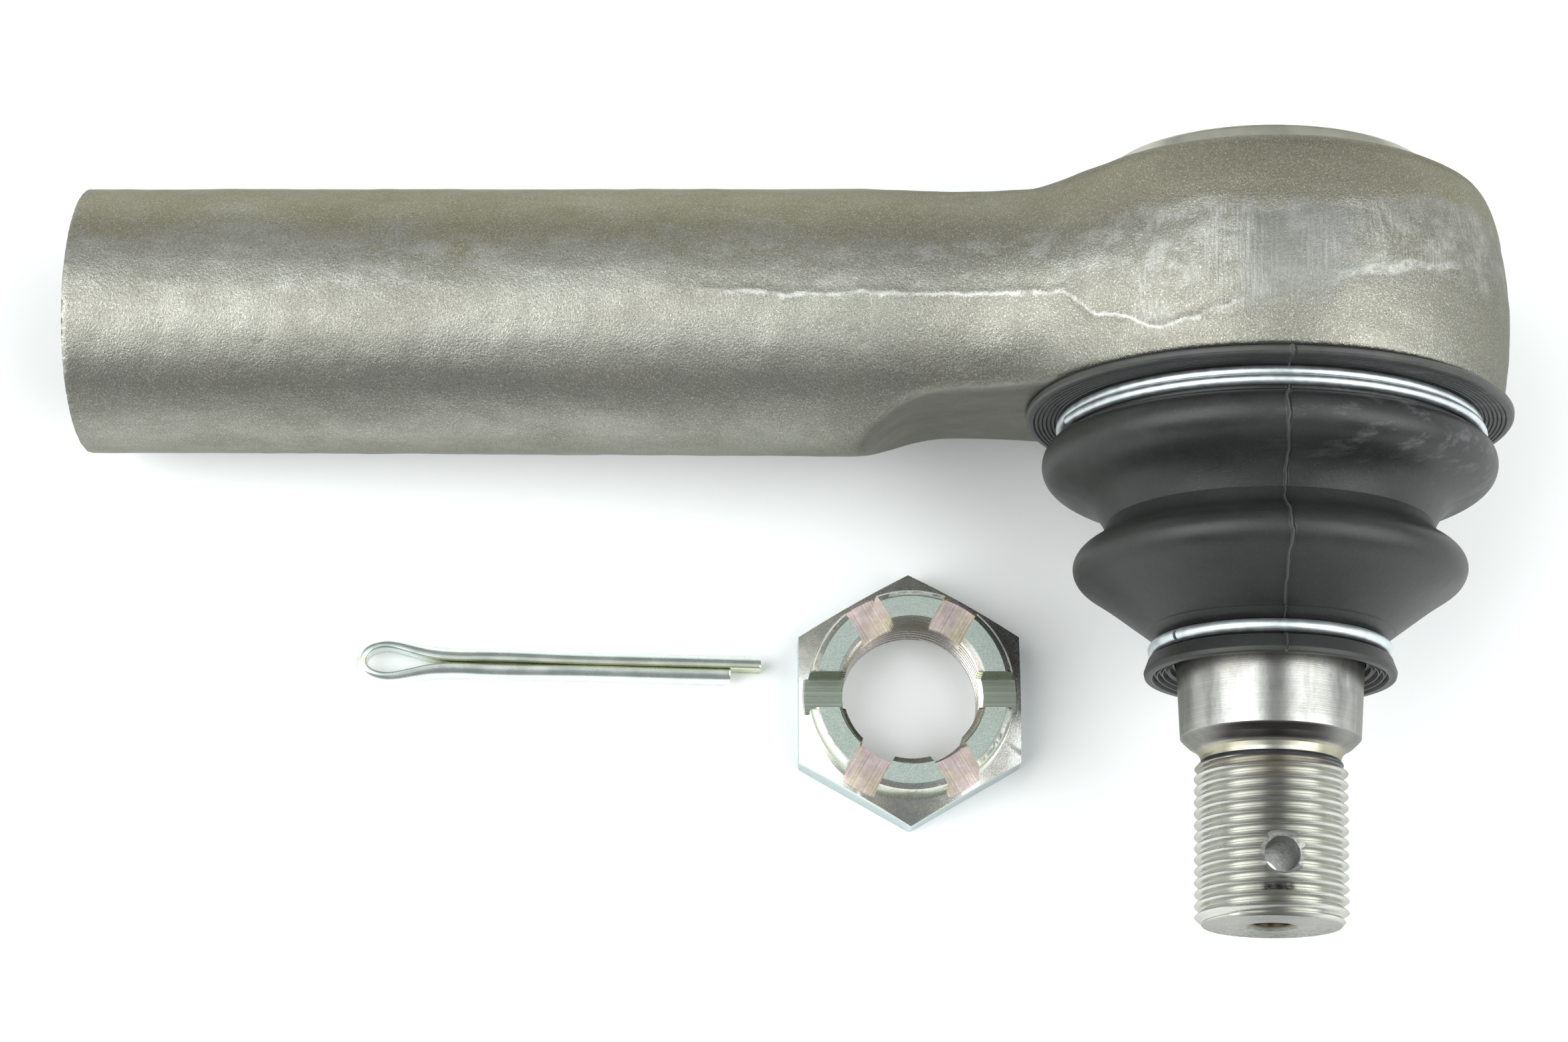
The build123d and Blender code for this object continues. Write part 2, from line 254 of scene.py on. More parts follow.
def wire(name, path, radius, to_row, count=16):
    """A piece of round wire along a path."""
    circle = [(radius * cos(tau * i / count), radius * sin(tau * i / count)) for i in range(count)]
    return piece(name, *sweep(path, lambda i: circle), to_row)


def apply_modifiers(obj):
    """Replace the object's mesh by what its modifiers make of it."""
    graph = bpy.context.evaluated_depsgraph_get()
    mesh = bpy.data.meshes.new_from_object(obj.evaluated_get(graph))
    obj.modifiers.clear()
    obj.data = mesh


def combine(obj, tool, operation):
    """Cut, join or intersect with a tool object, which is used up."""
    modifier = obj.modifiers.new("combine", "BOOLEAN")
    modifier.operation = operation
    modifier.solver = "EXACT"
    modifier.object = tool
    apply_modifiers(obj)
    bpy.data.objects.remove(tool)


def bevel(obj, width, degrees):
    """Round off the edges that turn by more than the angle."""
    modifier = obj.modifiers.new("bevel", "BEVEL")
    modifier.width = width
    modifier.segments = 2
    modifier.limit_method = "ANGLE"
    modifier.angle_limit = radians(degrees)
    apply_modifiers(obj)


def dress(obj, material, body, slot, *stood_for, sharp=32.0, flat_faces=False):
    """Move a finished mesh into the row frame, give it its finish and its body, and hide the CAD parts it
    stands for.
    """
    to_row = Matrix([obj["frame"][i:i + 4] for i in range(0, 16, 4)])
    mesh = obj.data
    places = np.zeros(len(mesh.vertices) * 3, np.float32)
    mesh.vertices.foreach_get("co", places)
    attribute = mesh.attributes.new("at", "FLOAT_VECTOR", "POINT")
    attribute.data.foreach_set("vector", places)
    mesh.transform(to_row)
    mesh.materials.clear()
    mesh.materials.append(material)
    mesh.polygons.foreach_set("material_index", [0] * len(mesh.polygons))
    mesh.shade_smooth()
    mesh.set_sharp_from_angle(angle=radians(sharp))
    if flat_faces:
        obj.modifiers.new("flat_faces", "WEIGHTED_NORMAL").keep_sharp = True
        apply_modifiers(obj)
    if body:
        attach(obj, body)
    if stood_for:
        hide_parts(*stood_for)


# ------------------------------------------------------------------------------ material nodes
# measures that the materials share with the stud and the nut
STUD_TIP_Z = 80.5
STUD_TURN = -6.5
HOLE_Z = 72.6
HOLE_R = 2.3
NUT_TOP = 13.0
NUT_SLOT_Z = 7.1
NUT_SLOT_W = 4.9
NUT_SLOT_TURNS = (0, 60, 120)


class Finish:
    """A Principled material whose nodes are added by short calls."""

    def __init__(self, name, where="at", **constants):
        self.material = bpy.data.materials.new(name)
        self.material.use_nodes = True
        self.tree = self.material.node_tree
        self.shader = self.tree.nodes["Principled BSDF"]
        for socket, value in constants.items():
            self.shader.inputs[socket.replace("_", " ")].default_value = value
        if where == "at":
            self.place = self.add("ShaderNodeAttribute", attribute_name="at").outputs["Vector"]
        else:
            coordinates = self.add("ShaderNodeTexCoord")
            self.place = self.vector("MULTIPLY", coordinates.outputs["Object"], (1000.0,) * 3)
        parts = self.add("ShaderNodeSeparateXYZ")
        self.tree.links.new(self.place, parts.inputs[0])
        self.x, self.y, self.z = parts.outputs

    def add(self, kind, **properties):
        """A new node with some of its settings changed."""
        made = self.tree.nodes.new(kind)
        for name, value in properties.items():
            setattr(made, name, value)
        return made

    def put(self, socket, value):
        """Link a socket to a value that comes from a node, or set it to a constant."""
        if isinstance(value, bpy.types.NodeSocket):
            self.tree.links.new(value, socket)
        else:
            socket.default_value = value

    def fed(self, kind, values, **properties):
        """The first output of a new node whose first inputs take the values."""
        made = self.add(kind, **properties)
        for socket, value in zip(made.inputs, values):
            self.put(socket, value)
        return made.outputs[0]

    def value(self, name):
        """The number that the mesh keeps under that name."""
        return self.add("ShaderNodeAttribute", attribute_name=name).outputs["Fac"]

    def math(self, operation, a, b=0.0, c=0.0):
        """Arithmetic on numbers, by Blender's name for it."""
        return self.fed("ShaderNodeMath", (a, b, c), operation=operation)

    def vector(self, operation, a, b):
        """Arithmetic on vectors, by Blender's name for it."""
        return self.fed("ShaderNodeVectorMath", (a, b), operation=operation)

    def point(self, x, y, z):
        """A vector from three numbers."""
        return self.fed("ShaderNodeCombineXYZ", (x, y, z))

    def times(self, product, *others):
        """All the values multiplied."""
        for other in others:
            product = self.math("MULTIPLY", product, other)
        return product

    def noise(self, size, detail=3.0, rough=0.55, stretch=(1, 1, 1), shift=0.0, place=None):
        """Noise whose features are about size millimetres across, longer where stretched."""
        scaled = self.vector("MULTIPLY", place or self.place, [1 / (size * s) for s in stretch])
        moved = self.vector("ADD", scaled, (shift, shift * 1.7, shift * 0.6))
        made = self.add("ShaderNodeTexNoise")
        self.put(made.inputs["Vector"], moved)
        made.inputs["Scale"].default_value = 1.0
        made.inputs["Detail"].default_value = detail
        made.inputs["Roughness"].default_value = rough
        return made.outputs["Fac"]

    def lines(self, along, size, detail=2.0, rough=0.6, shift=0.0):
        """Noise that changes along one number only, so that it reads as fine lines."""
        place = self.point(along, 0.0, 0.0)
        return self.noise(size, detail, rough, shift=shift, place=place)

    def cells(self, size):
        """Small dimples, side by side."""
        made = self.add("ShaderNodeTexVoronoi", feature="F1")
        self.put(made.inputs["Vector"], self.vector("MULTIPLY", self.place, [1 / size] * 3))
        made.inputs["Scale"].default_value = 1.0
        return made.outputs["Distance"]

    def scale(self, value, low, high, to_low=0.0, to_high=1.0, smooth=False):
        """From to_low where the value is low, to to_high where it is high, and held outside."""
        kind = "SMOOTHSTEP" if smooth else "LINEAR"
        values = (value, low, high, to_low, to_high)
        return self.fed("ShaderNodeMapRange", values, clamp=True, interpolation_type=kind)

    def mix(self, share, a, b):
        """Colour a with a share of colour b."""
        made = self.add("ShaderNodeMix", data_type="RGBA")
        self.put(made.inputs["Factor"], share)
        for socket, value in ((made.inputs[6], a), (made.inputs[7], b)):
            self.put(socket, value if isinstance(value, bpy.types.NodeSocket) else (*value, 1.0))
        return made.outputs[2]

    def within(self, value, centre, half, soft):
        """1 where the value is within half of centre, falling to 0 over soft."""
        away = self.math("ABSOLUTE", self.math("SUBTRACT", value, centre))
        return self.scale(away, half, self.math("ADD", half, soft), 1.0, 0.0, smooth=True)

    def length(self, x, y, z):
        """Length of the vector with these three parts."""
        made = self.add("ShaderNodeVectorMath", operation="LENGTH")
        self.put(made.inputs[0], self.point(x, y, z))
        return made.outputs["Value"]

    def radius(self):
        """Distance from the Z axis."""
        return self.length(self.x, self.y, 0.0)

    def tint(self, colour, *shares):
        """Mix a colour into the tone so far, by the product of the shares."""
        self.tone = self.mix(self.times(*shares), self.tone, colour)

    def finish(self, rough, *layers):
        """Connect tone, roughness and bump; each layer is (height from 0 to 1, depth in mm)."""
        self.put(self.shader.inputs["Base Color"], self.tone)
        self.put(self.shader.inputs["Roughness"], rough)
        normal = None
        for height, depth in layers:
            made = self.add("ShaderNodeBump")
            made.inputs["Strength"].default_value = 1.0
            made.inputs["Distance"].default_value = depth * MM
            self.put(made.inputs["Height"], height)
            if normal:
                self.put(made.inputs["Normal"], normal)
            normal = made.outputs["Normal"]
        self.put(self.shader.inputs["Normal"], normal)
        return self.material


def forged_steel():
    """Shot-blasted forging: fine bright grain, an oily olive tint on top, a rubbed flash line, lighter
    patches painted as highlight along the top, and painted shade on the head and on its shoulder.
    """
    f = Finish("forged_steel", Metallic=0.9, Specular_IOR_Level=0.5, Specular_Tint=(0.45, 0.45, 0.43, 1.0))
    dimples = f.cells(0.34)
    grain = f.noise(0.22, 2.0, 0.6)
    fine = f.noise(0.12, 2.0, 0.6, shift=4.0)
    patch = f.noise(8.0, 5.0, 0.65, stretch=(1.6, 1, 1), shift=2.0)
    broad = f.noise(30.0, 3.0, 0.5, stretch=(1.5, 1, 1), shift=7.0)
    f.tone = f.mix(f.scale(patch, 0.36, 0.64), (0.27, 0.264, 0.228), (0.36, 0.355, 0.315))
    oil_edge = f.math("ADD", f.value("oil"), f.scale(patch, 0.3, 0.7, -0.9, 0.9))
    f.tint((0.27, 0.253, 0.145), f.scale(oil_edge, -0.8, 0.6, 1.0, 0.0, smooth=True), 0.55)
    f.tint((0.24, 0.225, 0.15), f.scale(broad, 0.48, 0.68), 0.25)
    head = f.scale(f.x, -62.0, -38.0, smooth=True)
    # Painted shade: the head and neck are darkened, more towards the stud's side, to tone down the
    # highlight on them.
    f.tint((0.2, 0.195, 0.165), head, f.scale(f.z, -11.0, -4.0, 0.25, 0.7, smooth=True))
    # Painted shade: a dark band round the head's shoulder, where a bright reflected line would otherwise
    # show.
    f.tint((0.09, 0.085, 0.065), f.within(f.z, -16.0, 0.5, 1.5), head, 0.35)
    belly = f.scale(f.z, 9.0, 13.5, 0.0, 0.3, smooth=True)
    f.tint((0.15, 0.15, 0.14), belly, f.scale(f.z, 15.0, 17.0, 1.0, 0.0))
    # Painted highlight: lighter patches only in the band along the top where the highlight falls.
    highlight_patches = f.scale(f.noise(3.4, 5.0, 0.7, stretch=(1.8, 1, 1), shift=15.0), 0.5, 0.64)
    f.tint((0.52, 0.525, 0.51), highlight_patches, f.within(f.z, -2.5, 2.0, 3.5), 0.4)
    f.tint((0.56, 0.555, 0.5), f.scale(grain, 0.52, 0.7, 0.0, 0.6))
    f.tint((0.08, 0.076, 0.06), f.scale(fine, 0.3, 0.5, 0.75, 0.0))
    broken = f.scale(f.noise(2.2, 3.0, 0.6, stretch=(1, 4, 4), shift=3.0), 0.36, 0.55, 0.1, 1.0)
    begins = f.scale(f.x, -76.0, -66.0, 0.0, 1.0, smooth=True)
    ends = f.scale(f.x, -9.0, -4.0, 1.0, 0.12, smooth=True)
    flash = f.within(f.value("flash"), 0.0, 0.06, f.scale(grain, 0.35, 0.65, 0.18, 0.55))
    flash = f.times(flash, begins, f.times(broken, ends))
    sheared = f.value("sheared")
    scratch = f.noise(0.36, 2.0, 0.5, stretch=(1, 1, 22), shift=5.0)
    spots = f.scale(f.noise(5.0, 3.0, 0.6, (1, 1, 1.6), 9.0), 0.47, 0.62)
    rubbed = f.times(sheared, spots, f.scale(scratch, 0.42, 0.7))
    smeared = f.times(sheared, f.scale(f.noise(4.0, 4.0, 0.7, shift=12.0), 0.5, 0.7, 0.0, 0.3))
    trimmed = f.times(f.within(f.value("flash"), 0.3, 0.25, 0.6), f.within(f.x, 15.0, 6.5, 3.0),
                      f.scale(f.noise(0.8, 5.0, 0.75, shift=17.0), 0.36, 0.6, 0.1, 0.6))
    worn = f.math("MAXIMUM", f.times(flash, 0.65), f.times(rubbed, 0.42))
    worn = f.math("MAXIMUM", worn, trimmed)
    f.tint((0.6, 0.605, 0.59), f.math("MAXIMUM", worn, smeared))
    f.tint((0.235, 0.24, 0.235), sheared, f.within(f.x, 3.0, 4.5, 5.0), 0.5)
    machined = f.value("machined")
    smooth_tone = f.mix(f.scale(patch, 0.3, 0.7), (0.24, 0.235, 0.21), (0.35, 0.345, 0.315))
    f.tint(smooth_tone, machined, 0.75)
    rough = f.math("MULTIPLY_ADD", head, 0.06, f.scale(patch, 0.35, 0.65, 0.42, 0.3))
    plain = f.math("SUBTRACT", 1.0, f.times(machined, 0.6))
    calm = f.math("SUBTRACT", plain, f.times(sheared, 0.35))
    return f.finish(
        f.math("ADD", rough, f.times(worn, 0.12)),
        (f.times(f.noise(1.3, 2.0, 0.5, shift=1.0), calm), 0.02),
        (f.times(dimples, calm), 0.022),
        (f.times(grain, calm), 0.032),
        (f.times(fine, plain), 0.034),
        (f.times(scratch, sheared), 0.08),
    )


def lip_steel():
    """Rolled and turned rim: smooth, a little oily, with faint lines round it."""
    f = Finish("lip_steel", Metallic=0.85)
    lines = f.lines(f.radius(), 0.22)
    cloud = f.noise(7.0, 3.0, 0.6, shift=4.0)
    f.tone = f.mix(f.scale(cloud, 0.3, 0.7), (0.3, 0.295, 0.24), (0.42, 0.415, 0.35))
    f.tint((0.52, 0.52, 0.47), f.scale(lines, 0.4, 0.7, 0.0, 0.4))
    return f.finish(f.scale(cloud, 0.3, 0.7, 0.26, 0.36), (lines, 0.015), (f.noise(1.4, 2.0, 0.5), 0.03))


def bare_steel(name, axis):
    """Turned steel before its marks, with lines across an axis: the finish, and its blotches."""
    f = Finish(name, Metallic=0.95, Specular_Tint=(0.6, 0.6, 0.58, 1.0))
    turning = f.lines((f.x, f.y, f.z)[axis], 1.0, rough=0.5, shift=3.0)
    blotch = f.noise(3.2, 4.0, 0.6, shift=6.0)
    f.tone = f.mix(f.scale(turning, 0.35, 0.65), (0.28, 0.28, 0.265), (0.35, 0.35, 0.33))
    f.tint((0.18, 0.165, 0.145), f.scale(blotch, 0.45, 0.72, 0.0, 0.45))
    return f, blotch


def machined_end():
    """The shank's turned face, with fine rings about the shank's axis."""
    f, blotch = bare_steel("machined_end", 0)
    return f.finish(f.scale(blotch, 0.3, 0.7, 0.3, 0.4), (f.lines(f.length(0.0, f.y, f.z), 0.2), 0.015))


def turned_steel():
    """The stud: ground taper with a painted dark reflection down its middle and its chamfer painted dark
    as shade, heat tints in the undercut partly painted as highlight, bright thread painted lighter at its
    sides as reflection, greasy end.
    """
    f, blotch = bare_steel("turned_steel", 2)
    lines = f.lines(f.z, 0.13)
    aside = f.math("ABSOLUTE", f.x)
    ground = f.scale(f.z, 56.0, 56.3, 1.0, 0.0)
    f.tint((0.56, 0.56, 0.54), ground, 0.35)
    # Painted reflection: a dark band down the middle of the taper, where the dark gap above it would be
    # mirrored.
    f.tint((0.16, 0.16, 0.155), ground, f.within(f.x, 0.3, 0.6, 3.2), 0.5)
    f.tint((0.22, 0.21, 0.2), ground, f.scale(lines, 0.4, 0.62, 0.35, 0.0))
    stain = f.noise(2.4, 4.0, 0.65, stretch=(1, 1, 3.5), shift=11.0)
    f.tint((0.13, 0.13, 0.135), ground, f.scale(stain, 0.45, 0.7, 0.0, 0.5))
    under_boot = f.scale(f.z, 47.5, 51.0, 0.55, 0.0, smooth=True)
    f.tint((0.19, 0.17, 0.15), under_boot, f.scale(blotch, 0.35, 0.6))
    # Painted shade: the chamfer below the taper is painted near black, most in the middle where it faces
    # up.
    chamfer = f.within(f.z, 57.0, 0.65, 0.3)
    f.tint((0.035, 0.03, 0.032), chamfer, f.scale(f.within(f.x, 0.0, 5.0, 5.0), 0.0, 1.0, 0.2, 0.85))
    # Straw heat tint in the undercut, painted stronger towards the sides where the bright reflections
    # fall: partly a painted highlight.
    straw = f.within(f.z, 58.6, 0.4, 0.5)
    f.tint((0.4, 0.37, 0.24), straw, f.scale(aside, 2.0, 4.5, 0.2, 0.6))
    blue = f.within(f.z, 59.6, 0.25, 0.35)
    f.tint((0.05, 0.06, 0.1), blue, 0.75)
    brown = f.within(f.z, 61.0, 0.5, 0.9)
    f.tint((0.42, 0.33, 0.22), brown, 0.3)
    # Lighter steel on the thread, laid on only towards its sides so that a dark band stays down its
    # middle: partly a painted reflection.
    threaded = f.times(f.scale(f.z, 59.8, 61.5), f.scale(aside, 1.0, 4.5, 0.1, 0.9))
    f.tint((0.6, 0.6, 0.56), threaded)
    smudge = f.times(f.within(f.z, 77.0, 0.25, 0.3), f.within(f.x, 0.4, 1.6, 0.9))
    f.tint((0.03, 0.03, 0.03), smudge, f.scale(f.noise(0.8, 3.0, 0.6, shift=2.0), 0.35, 0.55), 0.85)
    f.tint((0.16, 0.165, 0.165), f.scale(f.z, STUD_TIP_Z - 0.3, STUD_TIP_Z - 0.1, 0.0, 0.45))
    grease = f.scale(f.noise(0.7, 3.0, 0.7, shift=5.0), 0.45, 0.6)
    end_face = f.scale(f.z, STUD_TIP_Z - 0.2, STUD_TIP_Z - 0.05)
    f.tint((0.05, 0.047, 0.035), grease, end_face, f.scale(f.y, 3.0, -7.0, 0.1, 0.8))
    f.tint((0.05, 0.035, 0.015), f.scale(f.radius(), 3.3, 2.6), f.scale(f.z, 74.0, 74.5), 0.9)
    turn = radians(STUD_TURN)
    off_plane = f.math("MULTIPLY_ADD", f.y, sin(turn), f.times(f.x, cos(turn)))
    off_hole = f.math("SQRT", f.math("ADD", f.math("POWER", off_plane, 2.0),
                                     f.math("POWER", f.math("SUBTRACT", f.z, HOLE_Z), 2.0)))
    drilled = f.scale(off_hole, HOLE_R + 0.25, HOLE_R + 0.75, 1.0, 0.0)
    chatter = f.scale(f.noise(0.4, 2.0, 0.6, (3, 1, 1), 4.0), 0.4, 0.6)
    f.tint(f.mix(chatter, (0.3, 0.3, 0.29), (0.55, 0.55, 0.53)), drilled)
    rough = f.math("MULTIPLY_ADD", threaded, -0.03, f.scale(blotch, 0.3, 0.7, 0.27, 0.37))
    return f.finish(
        f.math("MULTIPLY_ADD", drilled, 0.2, rough),
        (f.times(lines, ground), 0.014),
        (f.times(f.noise(0.5, 2.0, 0.5, shift=8.0), ground), 0.008),
    )


def boot_rubber():
    """Satin black rubber with dusty grey scuffs, and a painted shadow and a painted highlight along its
    moulding seam.
    """
    f = Finish("boot_rubber", Metallic=0.0, Specular_IOR_Level=0.4)
    speck = f.noise(0.22, 2.0, 0.6)
    cloud = f.noise(8.0, 4.0, 0.6, stretch=(1.5, 1.5, 0.8), shift=2.0)
    scuff = f.noise(2.4, 4.0, 0.7, stretch=(2.6, 1, 0.8), shift=8.0)
    f.tone = f.mix(f.scale(cloud, 0.35, 0.7), (0.011, 0.0115, 0.011), (0.021, 0.022, 0.021))
    rub = f.times(f.scale(scuff, 0.52, 0.72), f.scale(f.x, -4.0, 18.0, 0.1, 1.0))
    f.tint((0.12, 0.125, 0.13), rub, f.within(f.z, 19.0, 3.5, 4.0), 0.65)
    f.tint((0.09, 0.09, 0.088), f.scale(f.z, 46.3, 46.8), f.scale(f.radius(), 15.5, 15.3), 0.7)
    f.tint((0.12, 0.12, 0.12), f.scale(speck, 0.58, 0.75, 0.0, 0.12))
    f.tint((0.06, 0.06, 0.058), f.scale(f.radius(), 31.0, 31.5), f.scale(cloud, 0.3, 0.6, 0.4, 1.0), 0.8)
    seam = f.value("mould")
    # Painted shadow: a dark line along one side of the moulding seam.
    f.tint((0.003, 0.003, 0.003), f.within(seam, -0.5, 0.2, 0.25), 0.85)
    # Painted highlight: a lighter line along the seam's other side.
    f.tint((0.07, 0.072, 0.07), f.within(seam, 0.15, 0.15, 0.3), 0.5)
    rough = f.scale(cloud, 0.3, 0.7, 0.38, 0.5)
    return f.finish(rough, (f.noise(1.2, 3.0, 0.6, shift=3.0), 0.03), (speck, 0.015))


def zinc(name, bright, dull, size=1.6, rough=(0.22, 0.34), flats=0.0):
    """Bright zinc plating with a fine uneven grain; yellower on flat sides near the XZ plane."""
    f = Finish(name, Metallic=0.95)
    cloud = f.noise(size, 3.0, 0.55)
    drawn = f.noise(0.3, 2.0, 0.6, shift=5.0)
    f.tone = f.mix(f.scale(cloud, 0.35, 0.68), dull, bright)
    f.tint(bright, f.scale(drawn, 0.5, 0.75, 0.0, 0.2))
    if flats:
        f.tint((0.6, 0.62, 0.38), f.scale(f.math("ABSOLUTE", f.y), 0.1, flats, 0.8, 0.0))
    return f.finish(f.scale(cloud, 0.3, 0.7, *rough), (drawn, 0.002), (cloud, 0.0015))


def nut_zinc():
    """Iridescent passivated zinc: greenish crown tops, pink and gold on the milled slots; painted shade in
    the bore and in the slot along X, painted reflection on the hex's sides.
    """
    f = Finish("nut_zinc", Metallic=0.95)
    cloud = f.noise(3.0, 3.0, 0.6)
    grain = f.noise(0.22, 2.0, 0.6, shift=4.0)
    film = f.noise(5.5, 3.0, 0.6, shift=9.0)
    f.tone = f.mix(f.scale(cloud, 0.35, 0.65), (0.55, 0.57, 0.55), (0.72, 0.72, 0.7))
    f.tint((0.72, 0.66, 0.42), f.scale(film, 0.5, 0.7, 0.0, 0.35))
    f.tint((0.8, 0.62, 0.68), f.scale(film, 0.5, 0.3, 0.0, 0.4))
    crown_top = f.scale(f.z, NUT_TOP - 0.25, NUT_TOP - 0.05)
    etched = f.scale(f.noise(0.15, 3.0, 0.7, shift=6.0), 0.38, 0.62)
    f.tint(f.mix(etched, (0.2, 0.255, 0.25), (0.39, 0.45, 0.44)), crown_top, 0.9)
    f.tint((0.42, 0.48, 0.32), f.scale(f.z, 7.25, 7.35), f.scale(f.z, 12.0, 12.3, 1.0, 0.25), 0.6)
    # Painted shade: the bore's wall is painted darker and browner below its top.
    f.tint((0.4, 0.34, 0.31), f.scale(f.radius(), 10.25, 10.0), f.scale(f.z, 12.9, 12.6), 0.5)
    # Painted reflection: the hex's side faces are tinted pale blue-green, as the white table looks
    # mirrored in them.
    side = f.scale(f.radius(), 14.3, 15.0)
    f.tint((0.3, 0.41, 0.42), side, f.scale(f.z, 4.5, 6.0, 1.0, 0.0), 0.85)
    across = 0.0
    for turn in NUT_SLOT_TURNS:
        run = f.times(f.x, -sin(radians(turn)))
        run = f.math("MULTIPLY_ADD", f.y, cos(radians(turn)), run)
        beside = f.within(run, 0.0, NUT_SLOT_W / 2, 0.02)
        across = f.math("MULTIPLY_ADD", run, beside, across)
    milled = f.lines(across, 0.4, 3.0)
    slot_floor = f.within(f.z, NUT_SLOT_Z, 0.1, 0.08)
    slot_floor = f.times(slot_floor, f.scale(f.math("ABSOLUTE", across), 0.0, 0.001))
    slot_tone = f.mix(f.scale(film, 0.4, 0.6), (0.84, 0.7, 0.74), (0.86, 0.78, 0.56))
    blotched = f.scale(f.noise(1.1, 4.0, 0.65, shift=21.0), 0.38, 0.6)
    slot_tone = f.mix(f.times(blotched, 0.55), slot_tone, (0.5, 0.42, 0.34))
    slot_tone = f.mix(f.scale(milled, 0.35, 0.62, 0.5, 0.0), slot_tone, (0.33, 0.24, 0.26))
    slot_tone = f.mix(f.scale(f.lines(across, 0.13), 0.4, 0.6, 0.4, 0.0), slot_tone, (0.25, 0.2, 0.2))
    # Painted shade: the slot that runs along X gets a darker, greener floor than the other two.
    side_tone = f.mix(f.scale(milled, 0.35, 0.62), (0.17, 0.19, 0.155), (0.28, 0.31, 0.27))
    level_slot = f.scale(f.math("ABSOLUTE", f.y), NUT_SLOT_W / 2, NUT_SLOT_W / 2 + 0.05, 1.0, 0.0)
    slot_tone = f.mix(level_slot, slot_tone, side_tone)
    # Painted shade: the walls of the slot along X are painted dark olive.
    level_wall = f.times(f.within(f.y, 0.0, 2.6, 0.05), f.scale(f.z, 7.3, 7.4))
    f.tint((0.13, 0.16, 0.06), level_wall, f.scale(f.z, 12.7, 12.8, 1.0, 0.0), 0.85)
    f.tint(slot_tone, slot_floor)
    rough = f.scale(grain, 0.3, 0.7, 0.2, 0.3)
    return f.finish(
        f.math("MULTIPLY_ADD", f.math("MAXIMUM", crown_top, slot_floor), 0.17, rough),
        (f.times(milled, slot_floor), 0.018),
        (grain, 0.01),
        (f.noise(1.5, 2.0, 0.5, shift=1.0), 0.006),
    )


def plain_finish(name, low, high, metallic, rough):
    """Finish for the pieces inside the joint, with uneven tone and a fine grain."""
    f = Finish(name, where="object", Metallic=metallic)
    cloud = f.noise(6.0, 3.0, 0.6)
    grain = f.noise(0.4, 2.0, 0.6, shift=3.0)
    f.tone = f.mix(f.scale(f.math("ADD", cloud, grain), 0.75, 1.25), low, high)
    return f.finish(f.scale(cloud, 0.3, 0.7, rough - 0.05, rough + 0.08), (grain, 0.03))


# ------------------------------------------------------------------------------------- forging
HEAD_R = 31.57
SHANK_R = 17.75
SHANK_FACE_X = -157.7
SHANK_BODY_X = -157.62
POCKET_Z = 12.9
POCKET_FLAT_R = 43.0
POCKET_RAMP_R = 12.0
LINER_R = 12.7
VOXEL = 0.5
FIELD_CELL = 0.125
FIELD_LOW = (-2.0, -26.0)
FIELD_SIZE = (512, 448)


def outline_field(outline):
    """Signed distance to a closed outline of (radius, height) points, on a fine grid."""
    r = FIELD_LOW[0] + np.arange(FIELD_SIZE[0]) * FIELD_CELL
    z = FIELD_LOW[1] + np.arange(FIELD_SIZE[1]) * FIELD_CELL
    rr, zz = np.meshgrid(r, z, indexing="ij")
    nearest = np.full(rr.shape, 1e9)
    inside = np.zeros(rr.shape, bool)
    for (r0, z0), (r1, z1) in zip(outline, outline[1:] + outline[:1]):
        run = (r1 - r0, z1 - z0)
        length = run[0] ** 2 + run[1] ** 2
        if length < 1e-12:
            continue
        share = np.clip(((rr - r0) * run[0] + (zz - z0) * run[1]) / length, 0, 1)
        nearest = np.minimum(nearest, np.hypot(rr - r0 - share * run[0], zz - z0 - share * run[1]))
        if z0 != z1:
            inside ^= ((z0 > zz) != (z1 > zz)) & (rr < run[0] * (zz - z0) / run[1] + r0)
    return np.where(inside, -nearest, nearest).astype(np.float32)


def look_up(field, r, z):
    """The field's value at each radius and height, between its samples."""
    i = np.clip((r - FIELD_LOW[0]) / FIELD_CELL, 0, FIELD_SIZE[0] - 1.001)
    j = np.clip((z - FIELD_LOW[1]) / FIELD_CELL, 0, FIELD_SIZE[1] - 1.001)
    i0, j0 = i.astype(np.int32), j.astype(np.int32)
    a, b = i - i0, j - j0
    low = field[i0, j0] * (1 - b) + field[i0, j0 + 1] * b
    high = field[i0 + 1, j0] * (1 - b) + field[i0 + 1, j0 + 1] * b
    return low * (1 - a) + high * a


def soft_min(a, b, reach):
    """The smaller of two distances, with a fillet where they meet."""
    share = np.clip(reach - np.abs(a - b), 0, None) / reach
    return np.minimum(a, b) - share**2 * reach / 4


def head_outline():
    """The head: bulging side, shoulder and lip below, and the collar under the boot."""
    side = [(HEAD_R - (z + 0.7) ** 2 * (0.0069 if z > -0.7 else 0.0119), z)
            for z in np.linspace(11.6, -11.8, 24)]
    shoulder = spline([side[-1], (29.35, -14.0), (28.4, -15.6), (26.7, -16.8), (24.4, -17.5)], 18)
    lip = [(24.4, -17.5), (22.0, -17.95), (21.0, -18.1), (20.9, -19.4), (-2, -19.4)]
    collar = [(-2, 17.6), (24.5, 17.6), (25.0, 17.1), (25.0, 12.6), (30.4, 12.6)]
    return side + shoulder[1:] + lip[1:] + collar


def pocket_outline():
    """The spot face round the collar, with its ramp where the cutter ran out."""
    ramp = arc((POCKET_FLAT_R, POCKET_Z + POCKET_RAMP_R), POCKET_RAMP_R, -90, 0, 12)
    return ramp + [(61.0, 25.0), (61.0, 29.0), (25.0, 29.0), (25.0, 12.6), (32.3, 12.6)]


